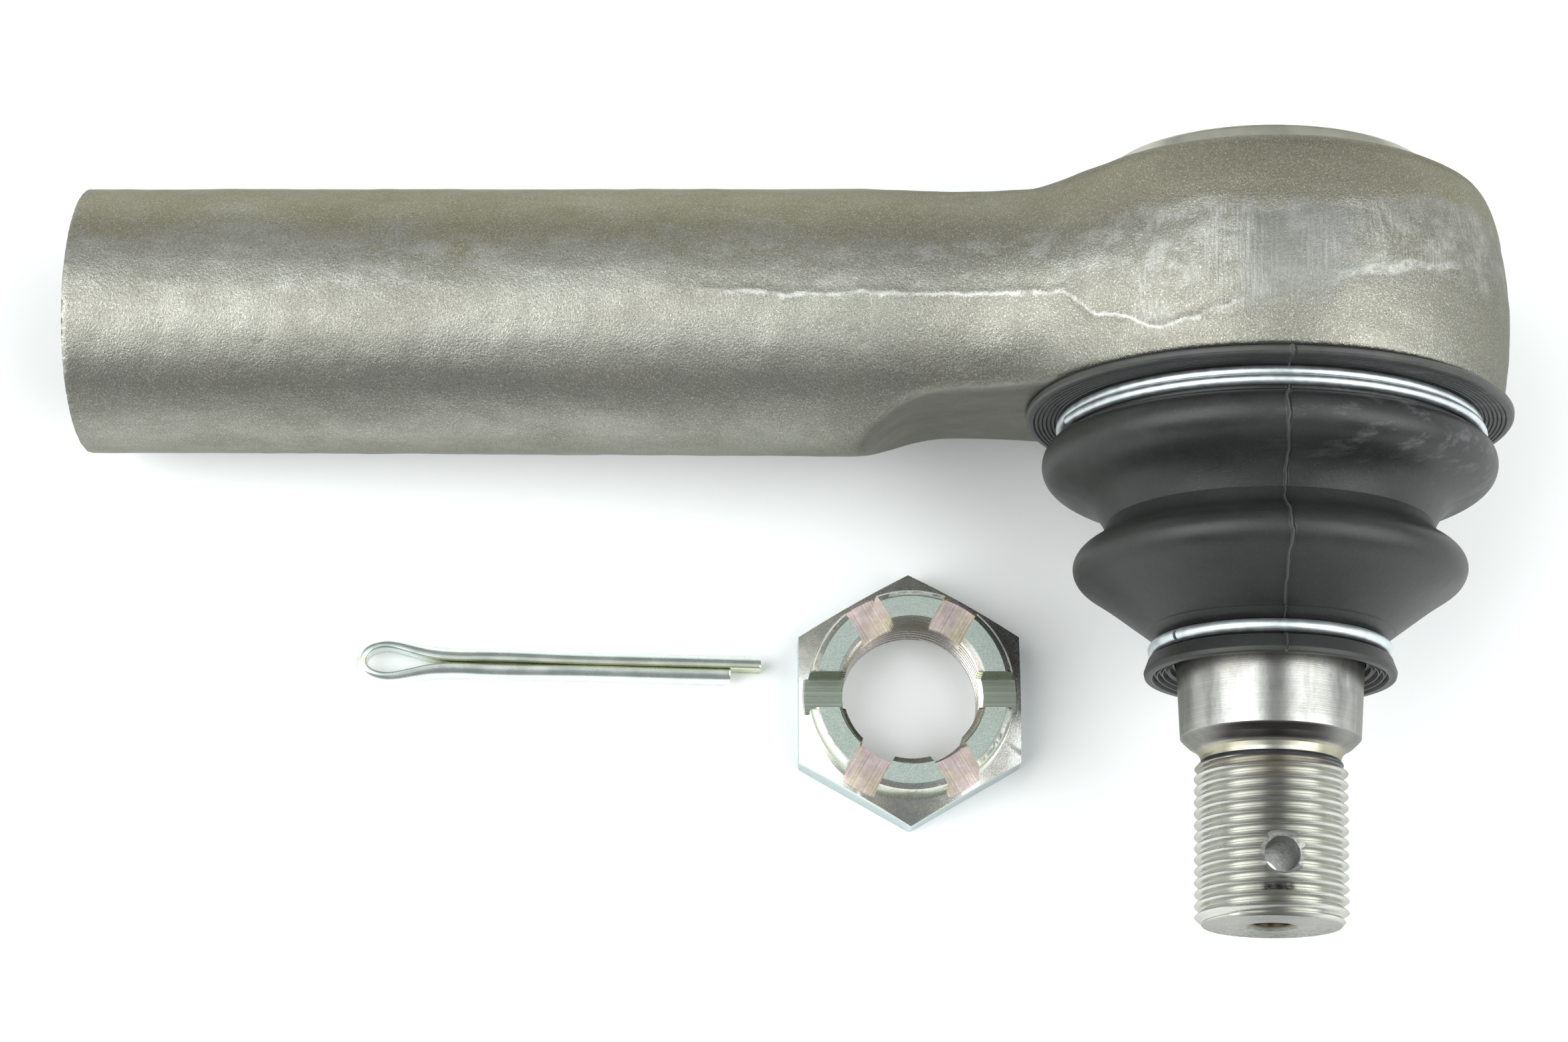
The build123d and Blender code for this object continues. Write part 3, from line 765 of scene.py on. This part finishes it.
def bore_outline():
    """The joint's stepped bore, from its mouth at the collar to the lip."""
    return [(-2, 18.6), (20.5, 18.6), (20.0, 17.6), (15.6, 11.6), (15.6, 9.8), (18.6, 9.8),
            (18.6, -15.5), (19.6, -15.5), (19.6, -19.05), (17.2, -19.05), (17.0, -19.3),
            (17.0, -21.5), (-2, -21.5)]


HEAD_FIELD = outline_field(head_outline())
POCKET_FIELD = outline_field(pocket_outline())
BORE_FIELD = outline_field(bore_outline())
NECK_STATIONS = [(-66.0, SHANK_R, SHANK_R), (-54.0, SHANK_R, SHANK_R), (-43.0, 17.6, 17.4),
                 (-31.0, 20.3, 17.5), (-22.0, 24.2, 17.3), (-8.0, 23.0, 15.2)]
NECK = np.array(spline(NECK_STATIONS, 120))
# (x, z) of the flash line, and of the edge of the oily zone above it
FLASH_LINE = [(-160, 1.3), (-73, 1.3), (-53, 1.6), (-37, 1.8), (-27, 2.7), (-22.6, 6.0), (-18.5, 7.4),
              (-14.8, 9.1), (-10.2, 8.7), (-7.7, 7.2), (-2.2, 5.7), (6.3, 4.7), (7.9, 2.7), (14.8, 1.2),
              (24.5, -1.7), (32, -3.0)]
OIL_LINE = [(-160, -7.5), (-90, -6.5), (-50, -6.0), (-37, -3.7), (-30, -4.7), (-24, -4.3), (-18.6, -6.6),
            (-13.4, -7.4), (-6, -7.0), (6, -7.2), (22, -9.7), (32, -10.5)]


def forging_parts(p):
    """Distance to the outside, the spot face, the joint's bore and the shank's hole."""
    x, y, z = p[..., 0], p[..., 1], p[..., 2]
    r = np.hypot(x, y)
    half_width = np.interp(x, NECK[:, 0], NECK[:, 1])
    half_height = np.interp(x, NECK[:, 0], NECK[:, 2])
    bar = (np.hypot(y / half_width, z / half_height) - 1) * np.minimum(half_width, half_height)
    bar = np.maximum(bar, x + 4.0)
    outside = soft_min(look_up(HEAD_FIELD, r, z), bar, 4.0)
    outside = np.maximum(outside, SHANK_BODY_X - x)
    pocket = look_up(POCKET_FIELD, r, z)
    bore = look_up(BORE_FIELD, r, z)
    shank_r = np.hypot(y, z)
    depth = x - SHANK_FACE_X
    drill_tip = 98.0 + (10.9 - shank_r) * 0.6
    hole = np.where(depth < 79.0, shank_r - LINER_R, shank_r - 10.9)
    hole = np.maximum(hole, depth - drill_tip)
    return outside, pocket, bore, hole


def forging_distance(p):
    """Distance to the whole forging's surface, less than 0 in the steel."""
    outside, pocket, bore, hole = forging_parts(p)
    body = -soft_min(-outside, pocket, 1.4)
    return np.maximum(np.maximum(body, -bore), -hole)


def surface_net(distance, low, counts, step):
    """Points and four-sided faces of a solid, given its distance function."""
    axes = [low[i] + np.arange(counts[i]) * step for i in range(3)]
    field = np.empty(counts, np.float32)
    for i, x in enumerate(axes[0]):
        yy, zz = np.meshgrid(axes[1], axes[2], indexing="ij")
        field[i] = distance(np.stack([np.full_like(yy, x), yy, zz], axis=-1))
    inside = field < 0
    corners = [(i, j, k) for i in (0, 1) for j in (0, 1) for k in (0, 1)]
    filled = sum(inside[tuple(slice(o, o + n - 1) for o, n in zip(c, counts))].astype(np.int8)
                 for c in corners)
    cells = np.argwhere((filled > 0) & (filled < 8))
    index = np.full(filled.shape, -1, np.int64)
    index[tuple(cells.T)] = np.arange(len(cells))
    total = np.zeros((len(cells), 3))
    hits = np.zeros(len(cells))
    for a in corners:
        for axis in range(3):
            if a[axis]:
                continue
            b = tuple(1 if i == axis else a[i] for i in range(3))
            fa = field[tuple((cells + a).T)].astype(float)
            fb = field[tuple((cells + b).T)].astype(float)
            crossed = (fa < 0) != (fb < 0)
            share = np.where(crossed, fa / np.where(crossed, fa - fb, 1), 0)
            place = np.array(a) + share[:, None] * (np.array(b) - a)
            total += place * crossed[:, None]
            hits += crossed
    points = np.array(low) + (cells + total / hits[:, None]) * step
    quads = []
    for axis in range(3):
        u, v = [(1, 2), (2, 0), (0, 1)][axis]
        ahead = np.zeros(3, int)
        ahead[axis] = 1
        nodes = [slice(1, n - 1) for n in counts]
        nodes[axis] = slice(0, counts[axis] - 1)
        shifted = list(nodes)
        shifted[axis] = slice(1, counts[axis])
        here, there = inside[tuple(nodes)], inside[tuple(shifted)]
        starts = np.array([s.start for s in nodes])
        for sign in (True, False):
            found = np.argwhere((here != there) & (here == sign)) + starts
            ring = []
            for du, dv in ((0, 0), (-1, 0), (-1, -1), (0, -1)):
                cell = found.copy()
                cell[:, u] += du
                cell[:, v] += dv
                ring.append(index[tuple(cell.T)])
            ring = np.stack(ring, axis=1)
            quads.append(ring if sign else ring[:, ::-1])
    return points, np.concatenate(quads)


def settle(points, distance, rounds, most):
    """Move points onto the surface where the distance is nought."""
    start = points.copy()
    small = 0.02
    for _ in range(rounds):
        here = distance(points)
        slope = np.stack([distance(points + np.eye(3)[i] * small) - here for i in range(3)], axis=1)
        slope /= small
        points = points - slope * (here / np.maximum((slope**2).sum(1), 0.2))[:, None]
        points = start + np.clip(points - start, -most, most)
    return points


def waves(p, size, seed, count=14):
    """Smooth unevenness between about -1 and 1, with features of about the given size."""
    rng = np.random.default_rng(seed)
    total = np.zeros(len(p))
    for _ in range(count):
        way = rng.normal(size=3)
        way *= tau / (size * rng.uniform(0.7, 1.6)) / np.linalg.norm(way)
        total += np.sin(p @ way + rng.uniform(0, tau))
    return total / np.sqrt(count)


def pits(p, rng, count, low, high):
    """Depth of small pits scattered over the points' own surface."""
    depth = np.zeros(len(p))
    for centre in p[rng.choice(len(p), count, replace=False)]:
        size = rng.uniform(low, high)
        near = np.flatnonzero(np.abs(p - centre).max(1) < size * 2)
        away = np.linalg.norm(p[near] - centre, axis=1)
        depth[near] = np.maximum(depth[near], size * 0.22 * np.exp(-(away / size * 1.5) ** 2))
    return depth


def housing_forging(material):
    """The forging's skin, with its flash line, unevenness and sheared zone."""
    low = (-159.0, -33.0, -21.5)
    counts = (int(192.0 / VOXEL) + 1, int(66.0 / VOXEL) + 1, int(41.0 / VOXEL) + 1)
    points, quads = surface_net(forging_distance, low, counts, VOXEL)
    points = settle(points, forging_distance, 4, VOXEL * 0.7)
    outside, pocket, bore, hole = forging_parts(points)
    small = 0.05
    here = forging_distance(points)
    normal = np.stack([forging_distance(points + np.eye(3)[i] * small) - here for i in range(3)], 1)
    normal /= np.maximum(np.linalg.norm(normal, axis=1), 1e-6)[:, None]
    radius = np.hypot(points[:, 0], points[:, 1])
    cut = (np.abs(pocket) < 0.5) | (np.abs(bore) < 0.4) | (np.abs(hole) < 0.4)
    collar = (points[:, 2] > 12.7) & (radius < 26)
    machined = cut | collar | (points[:, 0] < SHANK_BODY_X + 0.2)
    skin = 1.0 - machined
    far = (points[:, 1] < 0)[:, None] * (7.0, 0, 0)
    wander = 0.45 * waves(points + far, 5.0, 21) + 0.12 * waves(points + far, 1.3, 22)
    flash = points[:, 2] - np.interp(points[:, 0], *zip(*FLASH_LINE)) - wander * 0.6
    oil = points[:, 2] - np.interp(points[:, 0], *zip(*OIL_LINE)) - wander
    oil /= np.interp(points[:, 0], (-66, -38), (5.0, 1.0))
    ridge = 0.16 * np.exp(-(flash / 0.55) ** 2)
    ridge *= (points[:, 0] > -74) & (points[:, 0] < -4) & (np.abs(points[:, 1]) > 5)
    swell = 0.035 * waves(points, 16.0, 3) + 0.025 * waves(points, 4.5, 5) + ridge
    swell -= pits(points, np.random.default_rng(11), 45, 0.4, 0.8)
    sheared = np.clip(1 - flash / 2.4, 0, 1) * np.clip(oil / 1.5, 0, 1)
    sheared *= np.clip(points[:, 0] / 8 + 3, 0, 1)
    swell -= 0.12 * sheared * skin
    swell *= np.where(radius < 36, np.clip((12.0 - points[:, 2]) / 1.5, 0, 1), 1)
    points = points + normal * (swell * skin)[:, None]
    forging = piece("housing_forging", points, quads, JOINT,
                    machined=machined, flash=flash, oil=oil, sheared=sheared)
    dress(forging, material, "housing", "forged_steel", "housing", sharp=50.0)


def crimped_lip(material):
    """The forging's rim, rolled over the closing cap and turned smooth."""
    outline = rounded([(23.2, -17.2), (22.15, -17.75), (21.75, -18.3), (21.65, -20.15), (17.3, -20.15),
                       (17.0, -19.1), (19.0, -18.9), (19.9, -17.2)], 0.45, 5)
    lip = turned("crimped_lip", outline, JOINT, 256)
    dress(lip, material, "housing", "forged_steel")


def shank_liner(material):
    """The shank's machined end face and the M24 x 1.5 thread in it, about its own axis."""
    minor, major = 11.19, 12.02
    thread_low, thread_high = 0.0, 78.0

    def radius_at(depth, share):
        """Share is 0 at the crest, which is the thread's minor diameter."""
        mouth = minor + max(0.0, 1.3 - depth)
        run_out = major - max(0.0, depth - (thread_high - 2.0)) * 0.45
        return max(mouth, min(minor + (major - minor) * share, max(run_out, minor)))

    wall = thread_wall(thread_low, thread_high, radius_at)
    face = band(dense([(minor + 1.3, 0.0), (SHANK_R - 0.75, 0.0)], 1.0)
                + [(SHANK_R - 0.6, 0.15), (SHANK_R - 1.0, 0.7), (LINER_R - 0.05, 0.7),
                   (LINER_R - 0.05, 78.6), (minor, 78.0)])
    points, faces = joined(wall, face)
    to_joint = Matrix.Translation((SHANK_FACE_X, 0, 0)) @ Matrix.Rotation(pi / 2, 4, "Y")
    points = [to_joint @ Vector(p) for p in points]
    dress(piece("shank_thread", points, faces, JOINT), material, "housing", "forged_steel")


# ---------------------------------------------------------------------------------------- boot
MOULD_ANGLE = 86.6
# thinner than in the CAD part, so that the swinging stud stays clear of the folds' inner side
BOOT_WALL = 1.0


def boot_angles():
    """Columns round the boot, close together along its two mould lines."""
    near = np.linspace(-2.7, 2.7, 37)
    even = np.linspace(0, 360, 240, endpoint=False)
    clear = [a for a in even if abs((a - MOULD_ANGLE + 90) % 180 - 90) > 3.2]
    angles = sorted(clear + [MOULD_ANGLE + d for d in near] + [MOULD_ANGLE + 180 + d for d in near])
    return np.radians(angles)


def from_mould_line(z, angle):
    """Degrees from the wavy line where the halves of the mould met."""
    lean = 0.9 - max(0.0, z - 24.0) * 0.1
    wander = 0.4 * sin(z * 0.62 + 2.0) + 0.22 * sin(z * 1.7 + 1.0) + 0.1 * sin(z * 4.1)
    away = np.degrees(angle) - MOULD_ANGLE - lean - wander
    return (away + 90) % 180 - 90


def boot_part(name, outline, outer_count):
    """A turned part of the boot; the mould line stands up on its first outer_count points."""
    angles = boot_angles()
    points, mould = [], []
    for i, (r, z) in enumerate(outline):
        for a in angles:
            away = from_mould_line(z, a)
            ridge = 0.6 if r < 31.0 or sin(a) > 0.0 else 0.08
            raised = ridge * np.exp(-(away / 0.42) ** 2) if i < outer_count else 0.0
            points.append(((r + raised) * cos(a), (r + raised) * sin(a), z))
            mould.append(away)
    faces = turned_faces(len(outline), len(angles), True)
    return piece(name, points, faces, JOINT, mould=mould)


def fold_outline(outer, count):
    """A fold's closed outline, and how many of its points are outside."""
    outside = spline(outer, count)
    inside = [(r - BOOT_WALL, z) for r, z in outside]
    return outside + inside[::-1], count


UPPER_FOLD = [(27.2, 17.0), (28.9, 17.8), (29.7, 20.2), (29.2, 21.6), (27.5, 23.0), (23.6, 24.9),
              (21.4, 28.1)]
LOWER_FOLD = [(21.4, 28.1), (22.3, 30.0), (24.3, 31.4), (25.6, 33.6), (25.0, 35.4), (23.4, 36.7),
              (17.6, 41.0), (16.0, 42.2)]


def boot_flange():
    """Top bead and sealing flange, with fine rings moulded in the flange's face."""
    face = [(31.65, 13.72), (31.2, 13.86)]
    for k in range(6):
        r = 30.75 - k * 0.55
        face += [(r + 0.14, 13.9), (r, 13.74), (r - 0.14, 13.9)]
    outer = [(31.75, 12.75), (31.9, 13.0), (31.86, 13.45)] + face
    outer += rounded([(27.5, 13.92), (27.05, 14.1), (27.05, 17.0), (26.4, 17.05)], 0.2, 3, False)
    inner = [(25.05, 17.0), (25.05, 12.75)]
    outline = dense(outer, 0.8) + inner
    return boot_part("boot_flange_skin", outline, len(outline) - 2)


def boot_lip():
    """Lower neck with the wire's groove, and the flared lip with its ribs."""
    outer = rounded([(16.0, 42.2), (15.1, 42.9), (14.2, 43.5), (14.15, 45.5), (15.75, 45.8),
                     (16.35, 47.5), (16.2, 48.15), (15.5, 48.2)], 0.25, 4, close=False)
    ribs = []
    for k in range(3):
        r = 15.1 - k * 0.7
        ribs += [(r + 0.12, 48.15 - k * 0.3), (r - 0.1, 47.5 - k * 0.3), (r - 0.3, 47.45 - k * 0.3),
                 (r - 0.45, 47.9 - k * 0.3)]
    inner = [(12.9, 47.0), (12.9, 46.4), (13.6, 46.4), (13.6, 43.2), (12.9, 43.2), (12.9, 42.2)]
    outer = dense(outer, 0.5)
    return boot_part("boot_lip_skin", outer + ribs + inner, len(outer))


def boot(material):
    """The four parts of the boot; its two folds are baked into the row frame and given no body."""
    dress(boot_flange(), material, "housing", "boot_rubber", "boot_flange")
    upper = boot_part("boot_upper_skin", *fold_outline(UPPER_FOLD, 46))
    dress(upper, material, None, "boot_rubber", "boot_upper_fold", sharp=60.0)
    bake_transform(upper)
    lower = boot_part("boot_lower_skin", *fold_outline(LOWER_FOLD, 56))
    dress(lower, material, None, "boot_rubber", "boot_lower_fold", sharp=60.0)
    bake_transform(lower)
    dress(boot_lip(), material, "boot_end", "boot_rubber", "boot_lip")


def clamp_ring(material):
    """Spring wire round the boot for 1.74 turns; its inner turn lies lower and closer in."""
    wire_r, centre_r = 0.66, 27.75
    outer, inner, sunk = 15.98, 14.75, 0.5
    start, turns, count = radians(161), 1.74, 480
    path = []
    for i in range(count + 1):
        turned_by = turns * tau * i / count
        angle = start - turned_by
        share = np.clip((turned_by - pi) / radians(150), 0, 1)
        share = share * share * (3 - 2 * share)
        r = centre_r - sunk * share
        path.append((r * cos(angle), r * sin(angle), outer + (inner - outer) * share))
    ring = wire("boot_clamp_wire", path, wire_r, JOINT)
    dress(ring, material, "housing", "zinc_wire", "boot_clamp_ring", sharp=40.0)


def lip_ring(material):
    """One turn of wire in the groove above the lip, with a small gap at its joint."""
    wire_r, centre_r, height = 0.82, 15.02, 44.5
    gap, count = radians(2.0), 240
    start = radians(144)
    path = [(centre_r * cos(a), centre_r * sin(a), height)
            for a in start + np.linspace(0, tau - gap, count)]
    ring = wire("boot_lip_wire", path, wire_r, JOINT)
    dress(ring, material, "boot_end", "zinc_wire", "boot_lip_ring", sharp=40.0)


# ---------------------------------------------------------------------------------------- stud
def ball_stud(material):
    """Ball, neck, taper, undercut and thread, with the hole for the split pin."""
    ball_r, neck_r = 16.0, 9.5
    crest_r, root_r = 9.9, 9.02
    thread_low = 59.2
    join_z = np.sqrt(ball_r**2 - neck_r**2)
    ball = arc((0, 0), ball_r, -62.56, np.degrees(acos(neck_r / ball_r)), 60)
    body = rounded([(neck_r, join_z), (neck_r, 20.0), (12.3, 29.0), (12.3, 45.5), (12.19, 45.8),
                    (11.66, 56.1), (10.75, 57.0), (9.85, 57.55), (9.3, 58.1), (9.05, 58.7),
                    (9.0, thread_low)], 0.18, 4, False)
    stem = [(0.0, -14.2), (7.2, -14.2)] + ball + body[1:]

    def radius_at(height, share):
        start = 9.0 + max(0.0, height - thread_low) * 0.9
        end = crest_r - max(0.0, height - (STUD_TIP_Z - 1.05))
        return min(start, end, crest_r - (crest_r - root_r) * share)

    thread = thread_wall(thread_low, STUD_TIP_Z, radius_at)
    tip_r = crest_r - 1.05
    end = [(tip_r, STUD_TIP_Z), (5.0, STUD_TIP_Z), (3.3, STUD_TIP_Z), (2.5, STUD_TIP_Z - 0.5),
           (2.3, STUD_TIP_Z - 2.4), (0.0, STUD_TIP_Z - 3.6)]
    points, faces = joined(band(dense(stem, 1.5)), thread, band(end))
    stud = piece("ball_stud_steel", points, faces, JOINT)
    hole = arc((0, 0), HOLE_R, 0, 360, 49)[:-1]
    tool_outline = [(0.0, -14.0), (2.6, -13.0), (1.0, -8.7), (1.0, 8.7), (2.6, 13.0), (0.0, 14.0)]
    turn = Matrix.Translation((0, 0, HOLE_Z)) @ Matrix.Rotation(radians(STUD_TURN), 4, "Z") \
        @ Matrix.Rotation(pi / 2, 4, "X")
    points = [turn @ Vector((x * scale, y * scale, s)) for scale, s in tool_outline for x, y in hole]
    tool = piece("cross_hole", points, turned_faces(len(tool_outline), len(hole), False), JOINT)
    combine(stud, tool, "DIFFERENCE")
    dress(stud, material, "ball_stud", "turned_steel", "ball_stud", sharp=28.0)


# --------------------------------------------------------------------------------- nut and pin
NUT_FLATS = 30.0
NUT_TURN = 1.5


def extruded(name, corners, low, high, to_row):
    """A prism between two heights."""
    count = len(corners)
    points = [(x, y, z) for z in (low, high) for x, y in corners]
    faces = [tuple(reversed(range(count))), tuple(range(count, 2 * count))]
    faces += [(i, (i + 1) % count, (i + 1) % count + count, i + count) for i in range(count)]
    return piece(name, points, faces, to_row)


def castle_nut(material):
    """Hexagon with a chamfered foot, a slotted crown and a real thread."""
    low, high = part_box("castle_nut")
    foot = Vector(((low.x + high.x) / 2, (low.y + high.y) / 2, low.z))
    to_row = flat_frame(foot, radians(NUT_TURN))
    hex_top = 7.3
    bore_r, thread_r, mouth_r, crown_r, top_r = 9.19, 10.0, 10.1, 14.0, 12.75
    corner_r = NUT_FLATS / 2 / cos(radians(30))
    slope = np.tan(radians(30))
    hexagon = [(corner_r * cos(radians(a)), corner_r * sin(radians(a))) for a in range(30, 390, 60)]
    nut = extruded("castle_nut_zinc", hexagon, 0.0, hex_top, to_row)
    drop = (corner_r + 1 - crown_r) * slope
    cone = [(0, 0), (corner_r - 0.9, 0), (corner_r + 0.1, 0.5), (corner_r + 1, hex_top - drop),
            (crown_r, hex_top), (0, hex_top)]
    combine(nut, turned("cone", cone, to_row), "INTERSECT")
    crown = [(0, hex_top - 1), (crown_r, hex_top - 1), (crown_r, hex_top), (13.85, NUT_TOP - 1.4),
             (13.5, NUT_TOP - 0.55), (top_r, NUT_TOP), (0, NUT_TOP)]
    combine(nut, turned("crown", crown, to_row), "UNION")
    half_w, reach = NUT_SLOT_W / 2, 20.0
    slot = ((-reach, -half_w), (reach, -half_w), (reach, half_w), (-reach, half_w))
    for turn in NUT_SLOT_TURNS:
        way = Matrix.Rotation(radians(turn), 2)
        corners = [way @ Vector(c) for c in slot]
        combine(nut, extruded("slot", corners, NUT_SLOT_Z, NUT_TOP + 2, to_row), "DIFFERENCE")
    bevel(nut, 0.13, 28)

    def radius_at(height, share):
        countersink = max(mouth_r - height, mouth_r - (NUT_TOP - height))
        return max(countersink, thread_r - (thread_r - bore_r) * share)

    wall = thread_wall(-0.5, NUT_TOP + 0.5, radius_at)
    lid_low = band([(radius_at(-0.5, 1), -0.5), (0.0, -0.5)])
    lid_high = band([(radius_at(NUT_TOP + 0.5, 1), NUT_TOP + 0.5), (0.0, NUT_TOP + 0.5)])
    tap = piece("tap", *joined(wall, lid_low, lid_high), to_row)
    combine(nut, tap, "DIFFERENCE")
    dress(nut, material, "castle_nut", "zinc_nut", "castle_nut", sharp=24.0, flat_faces=True)


def split_pin(material):
    """Half-round wire bent back on itself; the two flat sides face each other."""
    low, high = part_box("split_pin")
    to_row = flat_frame(Vector((low.x, (low.y + high.y) / 2, low.z)))
    wire_h, leg_t, eye_t, round_r = 1.84, 1.85, 1.36, 0.3
    upper_leg, lower_leg = 55.0, 50.9
    eye = [(17.0, 0.16), (11.6, 0.2), (8.6, 0.72), (6.2, 1.35), (4.3, 1.68), (2.7, 1.45), (1.62, 0.75)]
    upper = [(upper_leg, 0.05), (40.0, 0.05), (28.0, 0.07)] + eye
    lower = [(x, -y) for x, y in reversed(upper)]
    lower[-1] = (lower_leg, -0.05)
    line = spline(upper + [(1.36, 0.0)] + lower, 420)

    def section(i):
        """Half circle with rounded corners, thinner at the eye."""
        x = line[i][0]
        thick = eye_t + (leg_t - eye_t) * min(1.0, max(0.0, (x - 3.0) / 9.0))
        steps = 13
        outline = []
        for k in range(steps):
            a = -pi / 2 + pi * k / (steps - 1)
            outline.append((round_r + (thick - round_r) * cos(a), wire_h * sin(a)))
        for side in (1, -1):
            corner = [(round_r * (1 - sin(b)), side * (wire_h - round_r * (1 - cos(b))))
                      for b in (pi / 6, pi / 3, pi / 2)]
            outline += corner[::side]
        return outline

    pin = piece("split_pin_wire", *sweep([(x, y, wire_h) for x, y in line], section), to_row)
    bevel(pin, 0.1, 60)
    dress(pin, material, "split_pin", "zinc_pin", "split_pin", sharp=40.0)


# ----------------------------------------------------------------------------------------- cap
def closing_cap(material):
    """Pressed cap under the crimped lip, domed a little in its middle."""
    outer = rounded([(19.5, -17.4), (19.5, -19.0), (16.9, -19.0), (15.9, -19.8), (9.5, -19.8),
                     (8.6, -19.55), (0.0, -19.55)], 0.5, 5, False)
    inner = rounded([(0.0, -18.1), (8.6, -18.1), (15.4, -18.3), (16.3, -17.4)], 0.4, 4, False)
    cap = turned("closing_cap_disc", dense(outer, 1.0) + inner, JOINT)
    dress(cap, material, "housing", "zinc_cap", "closing_cap")


# --------------------------------------------------------------------------- studio and camera
LIGHT_COLOUR = (0.97, 1.0, 0.99, 1.0)
TENT_LEVEL = 0.55
FRONT_LEVEL = 0.2
GAP_SHARE = 0.5
BOX_LEVEL = 4.5
BOX_Y = 0.04
BOX_HALF = 0.18
TABLE_HALF = 1.6
TABLE_GLOW = 0.03


class Sky(Finish):
    """The world's nodes, built by the same short calls."""

    def __init__(self, name):
        self.world = bpy.data.worlds.new(name)
        self.world.use_nodes = True
        self.tree = self.world.node_tree
        background = self.tree.nodes["Background"]
        background.inputs["Color"].default_value = LIGHT_COLOUR
        direction = self.add("ShaderNodeTexCoord").outputs["Generated"]
        self.put(background.inputs["Strength"], sky_level(self, direction))


def sky_level(f, direction):
    """Brightness of the light tent: two soft boxes, left and right, round a dimmer top."""
    parts = f.add("ShaderNodeSeparateXYZ")
    f.tree.links.new(direction, parts.inputs[0])
    x, y, z = parts.outputs
    off_top = f.math("ARCTAN2", f.math("ABSOLUTE", x), z)
    forward = f.math("MULTIPLY_ADD", f.math("ABSOLUTE", x), 0.3, f.times(x, 0.05))
    box = f.times(f.scale(off_top, radians(6), radians(27), smooth=True),
                  f.scale(off_top, radians(66), radians(86), 1.0, 0.0, smooth=True),
                  f.within(f.math("ADD", y, forward), BOX_Y, BOX_HALF, 0.4))
    gap = f.times(f.scale(off_top, radians(8), radians(24), 1.0, 0.0, smooth=True),
                  f.within(y, -0.2, 0.3, 0.3))
    tent = f.scale(y, -0.8, -0.25, FRONT_LEVEL, TENT_LEVEL, smooth=True)
    tent = f.times(tent, f.scale(gap, 0.0, 1.0, 1.0, GAP_SHARE))
    return f.math("MULTIPLY_ADD", box, BOX_LEVEL, tent)


def studio():
    """The light tent and the white table top."""
    bpy.context.scene.world = Sky("studio").world
    floor = bpy.data.meshes.new("table_top")
    corners = [(TABLE_HALF * x, TABLE_HALF * y, 0) for x, y in ((-1, -1), (1, -1), (1, 1), (-1, 1))]
    floor.from_pydata(corners, [], [(0, 1, 2, 3)])
    table = bpy.data.objects.new("table_top", floor)
    bpy.context.scene.collection.objects.link(table)
    f = Finish("white_table", where="object", Emission_Color=LIGHT_COLOUR, Emission_Strength=TABLE_GLOW)
    f.tone = f.mix(f.scale(f.noise(60.0), 0.3, 0.7), (0.79, 0.795, 0.8), (0.81, 0.815, 0.82))
    floor.materials.append(f.finish(0.6, (f.noise(0.5), 0.01)))
    bpy.context.scene.view_settings.view_transform = "Standard"


def camera():
    """Nearly above, from the stud's side: 76 degrees up, and rolled a little."""
    data = bpy.data.cameras.new("camera")
    data.lens = 97.8
    data.sensor_width = 36.0
    data.clip_start, data.clip_end = 0.01, 10.0
    view = bpy.data.objects.new("camera", data)
    view.location = (BALL_CENTRE.x - 0.0734128, BALL_CENTRE.y - 0.1578658, 0.571662)
    view.rotation_euler = (radians(13.441), radians(-1.353), radians(1.222))
    bpy.context.scene.collection.objects.link(view)
    bpy.context.scene.camera = view


# ------------------------------------------------------------------------------------ assembly
camera()
studio()
housing_forging(forged_steel())
shank_liner(machined_end())
crimped_lip(lip_steel())
boot(boot_rubber())
WIRE = zinc("zinc_wire", (0.66, 0.71, 0.72), (0.54, 0.59, 0.61), rough=(0.38, 0.48))
clamp_ring(WIRE)
lip_ring(WIRE)
ball_stud(turned_steel())
castle_nut(nut_zinc())
split_pin(zinc("zinc_pin", (0.82, 0.88, 0.86), (0.68, 0.75, 0.73), 3.0, (0.25, 0.29), 0.75))
closing_cap(zinc("zinc_cap", (0.55, 0.55, 0.48), (0.38, 0.37, 0.3), 4.0, (0.3, 0.42)))
ACETAL = plain_finish("acetal", (0.62, 0.6, 0.53), (0.72, 0.7, 0.64), 0.0, 0.4)
INNER_FINISHES = {
    "bearing_shell_upper": ACETAL,
    "bearing_shell_lower": ACETAL,
    "boot_slide_ring": plain_finish("slide_ring", (0.05, 0.05, 0.052), (0.08, 0.08, 0.085), 0.0, 0.35),
    "pressure_plate": plain_finish("plate_steel", (0.33, 0.33, 0.34), (0.47, 0.47, 0.48), 0.9, 0.3),
    "preload_spring": plain_finish("blued_spring", (0.1, 0.1, 0.11), (0.2, 0.2, 0.22), 0.9, 0.3),
    "cap_seal_ring": plain_finish("seal_rubber", (0.014, 0.014, 0.014), (0.03, 0.03, 0.03), 0.0, 0.5),
}
for node, finish in INNER_FINISHES.items():
    mesh = frame["nodes"][node].data
    mesh.materials.clear()
    mesh.materials.append(finish)
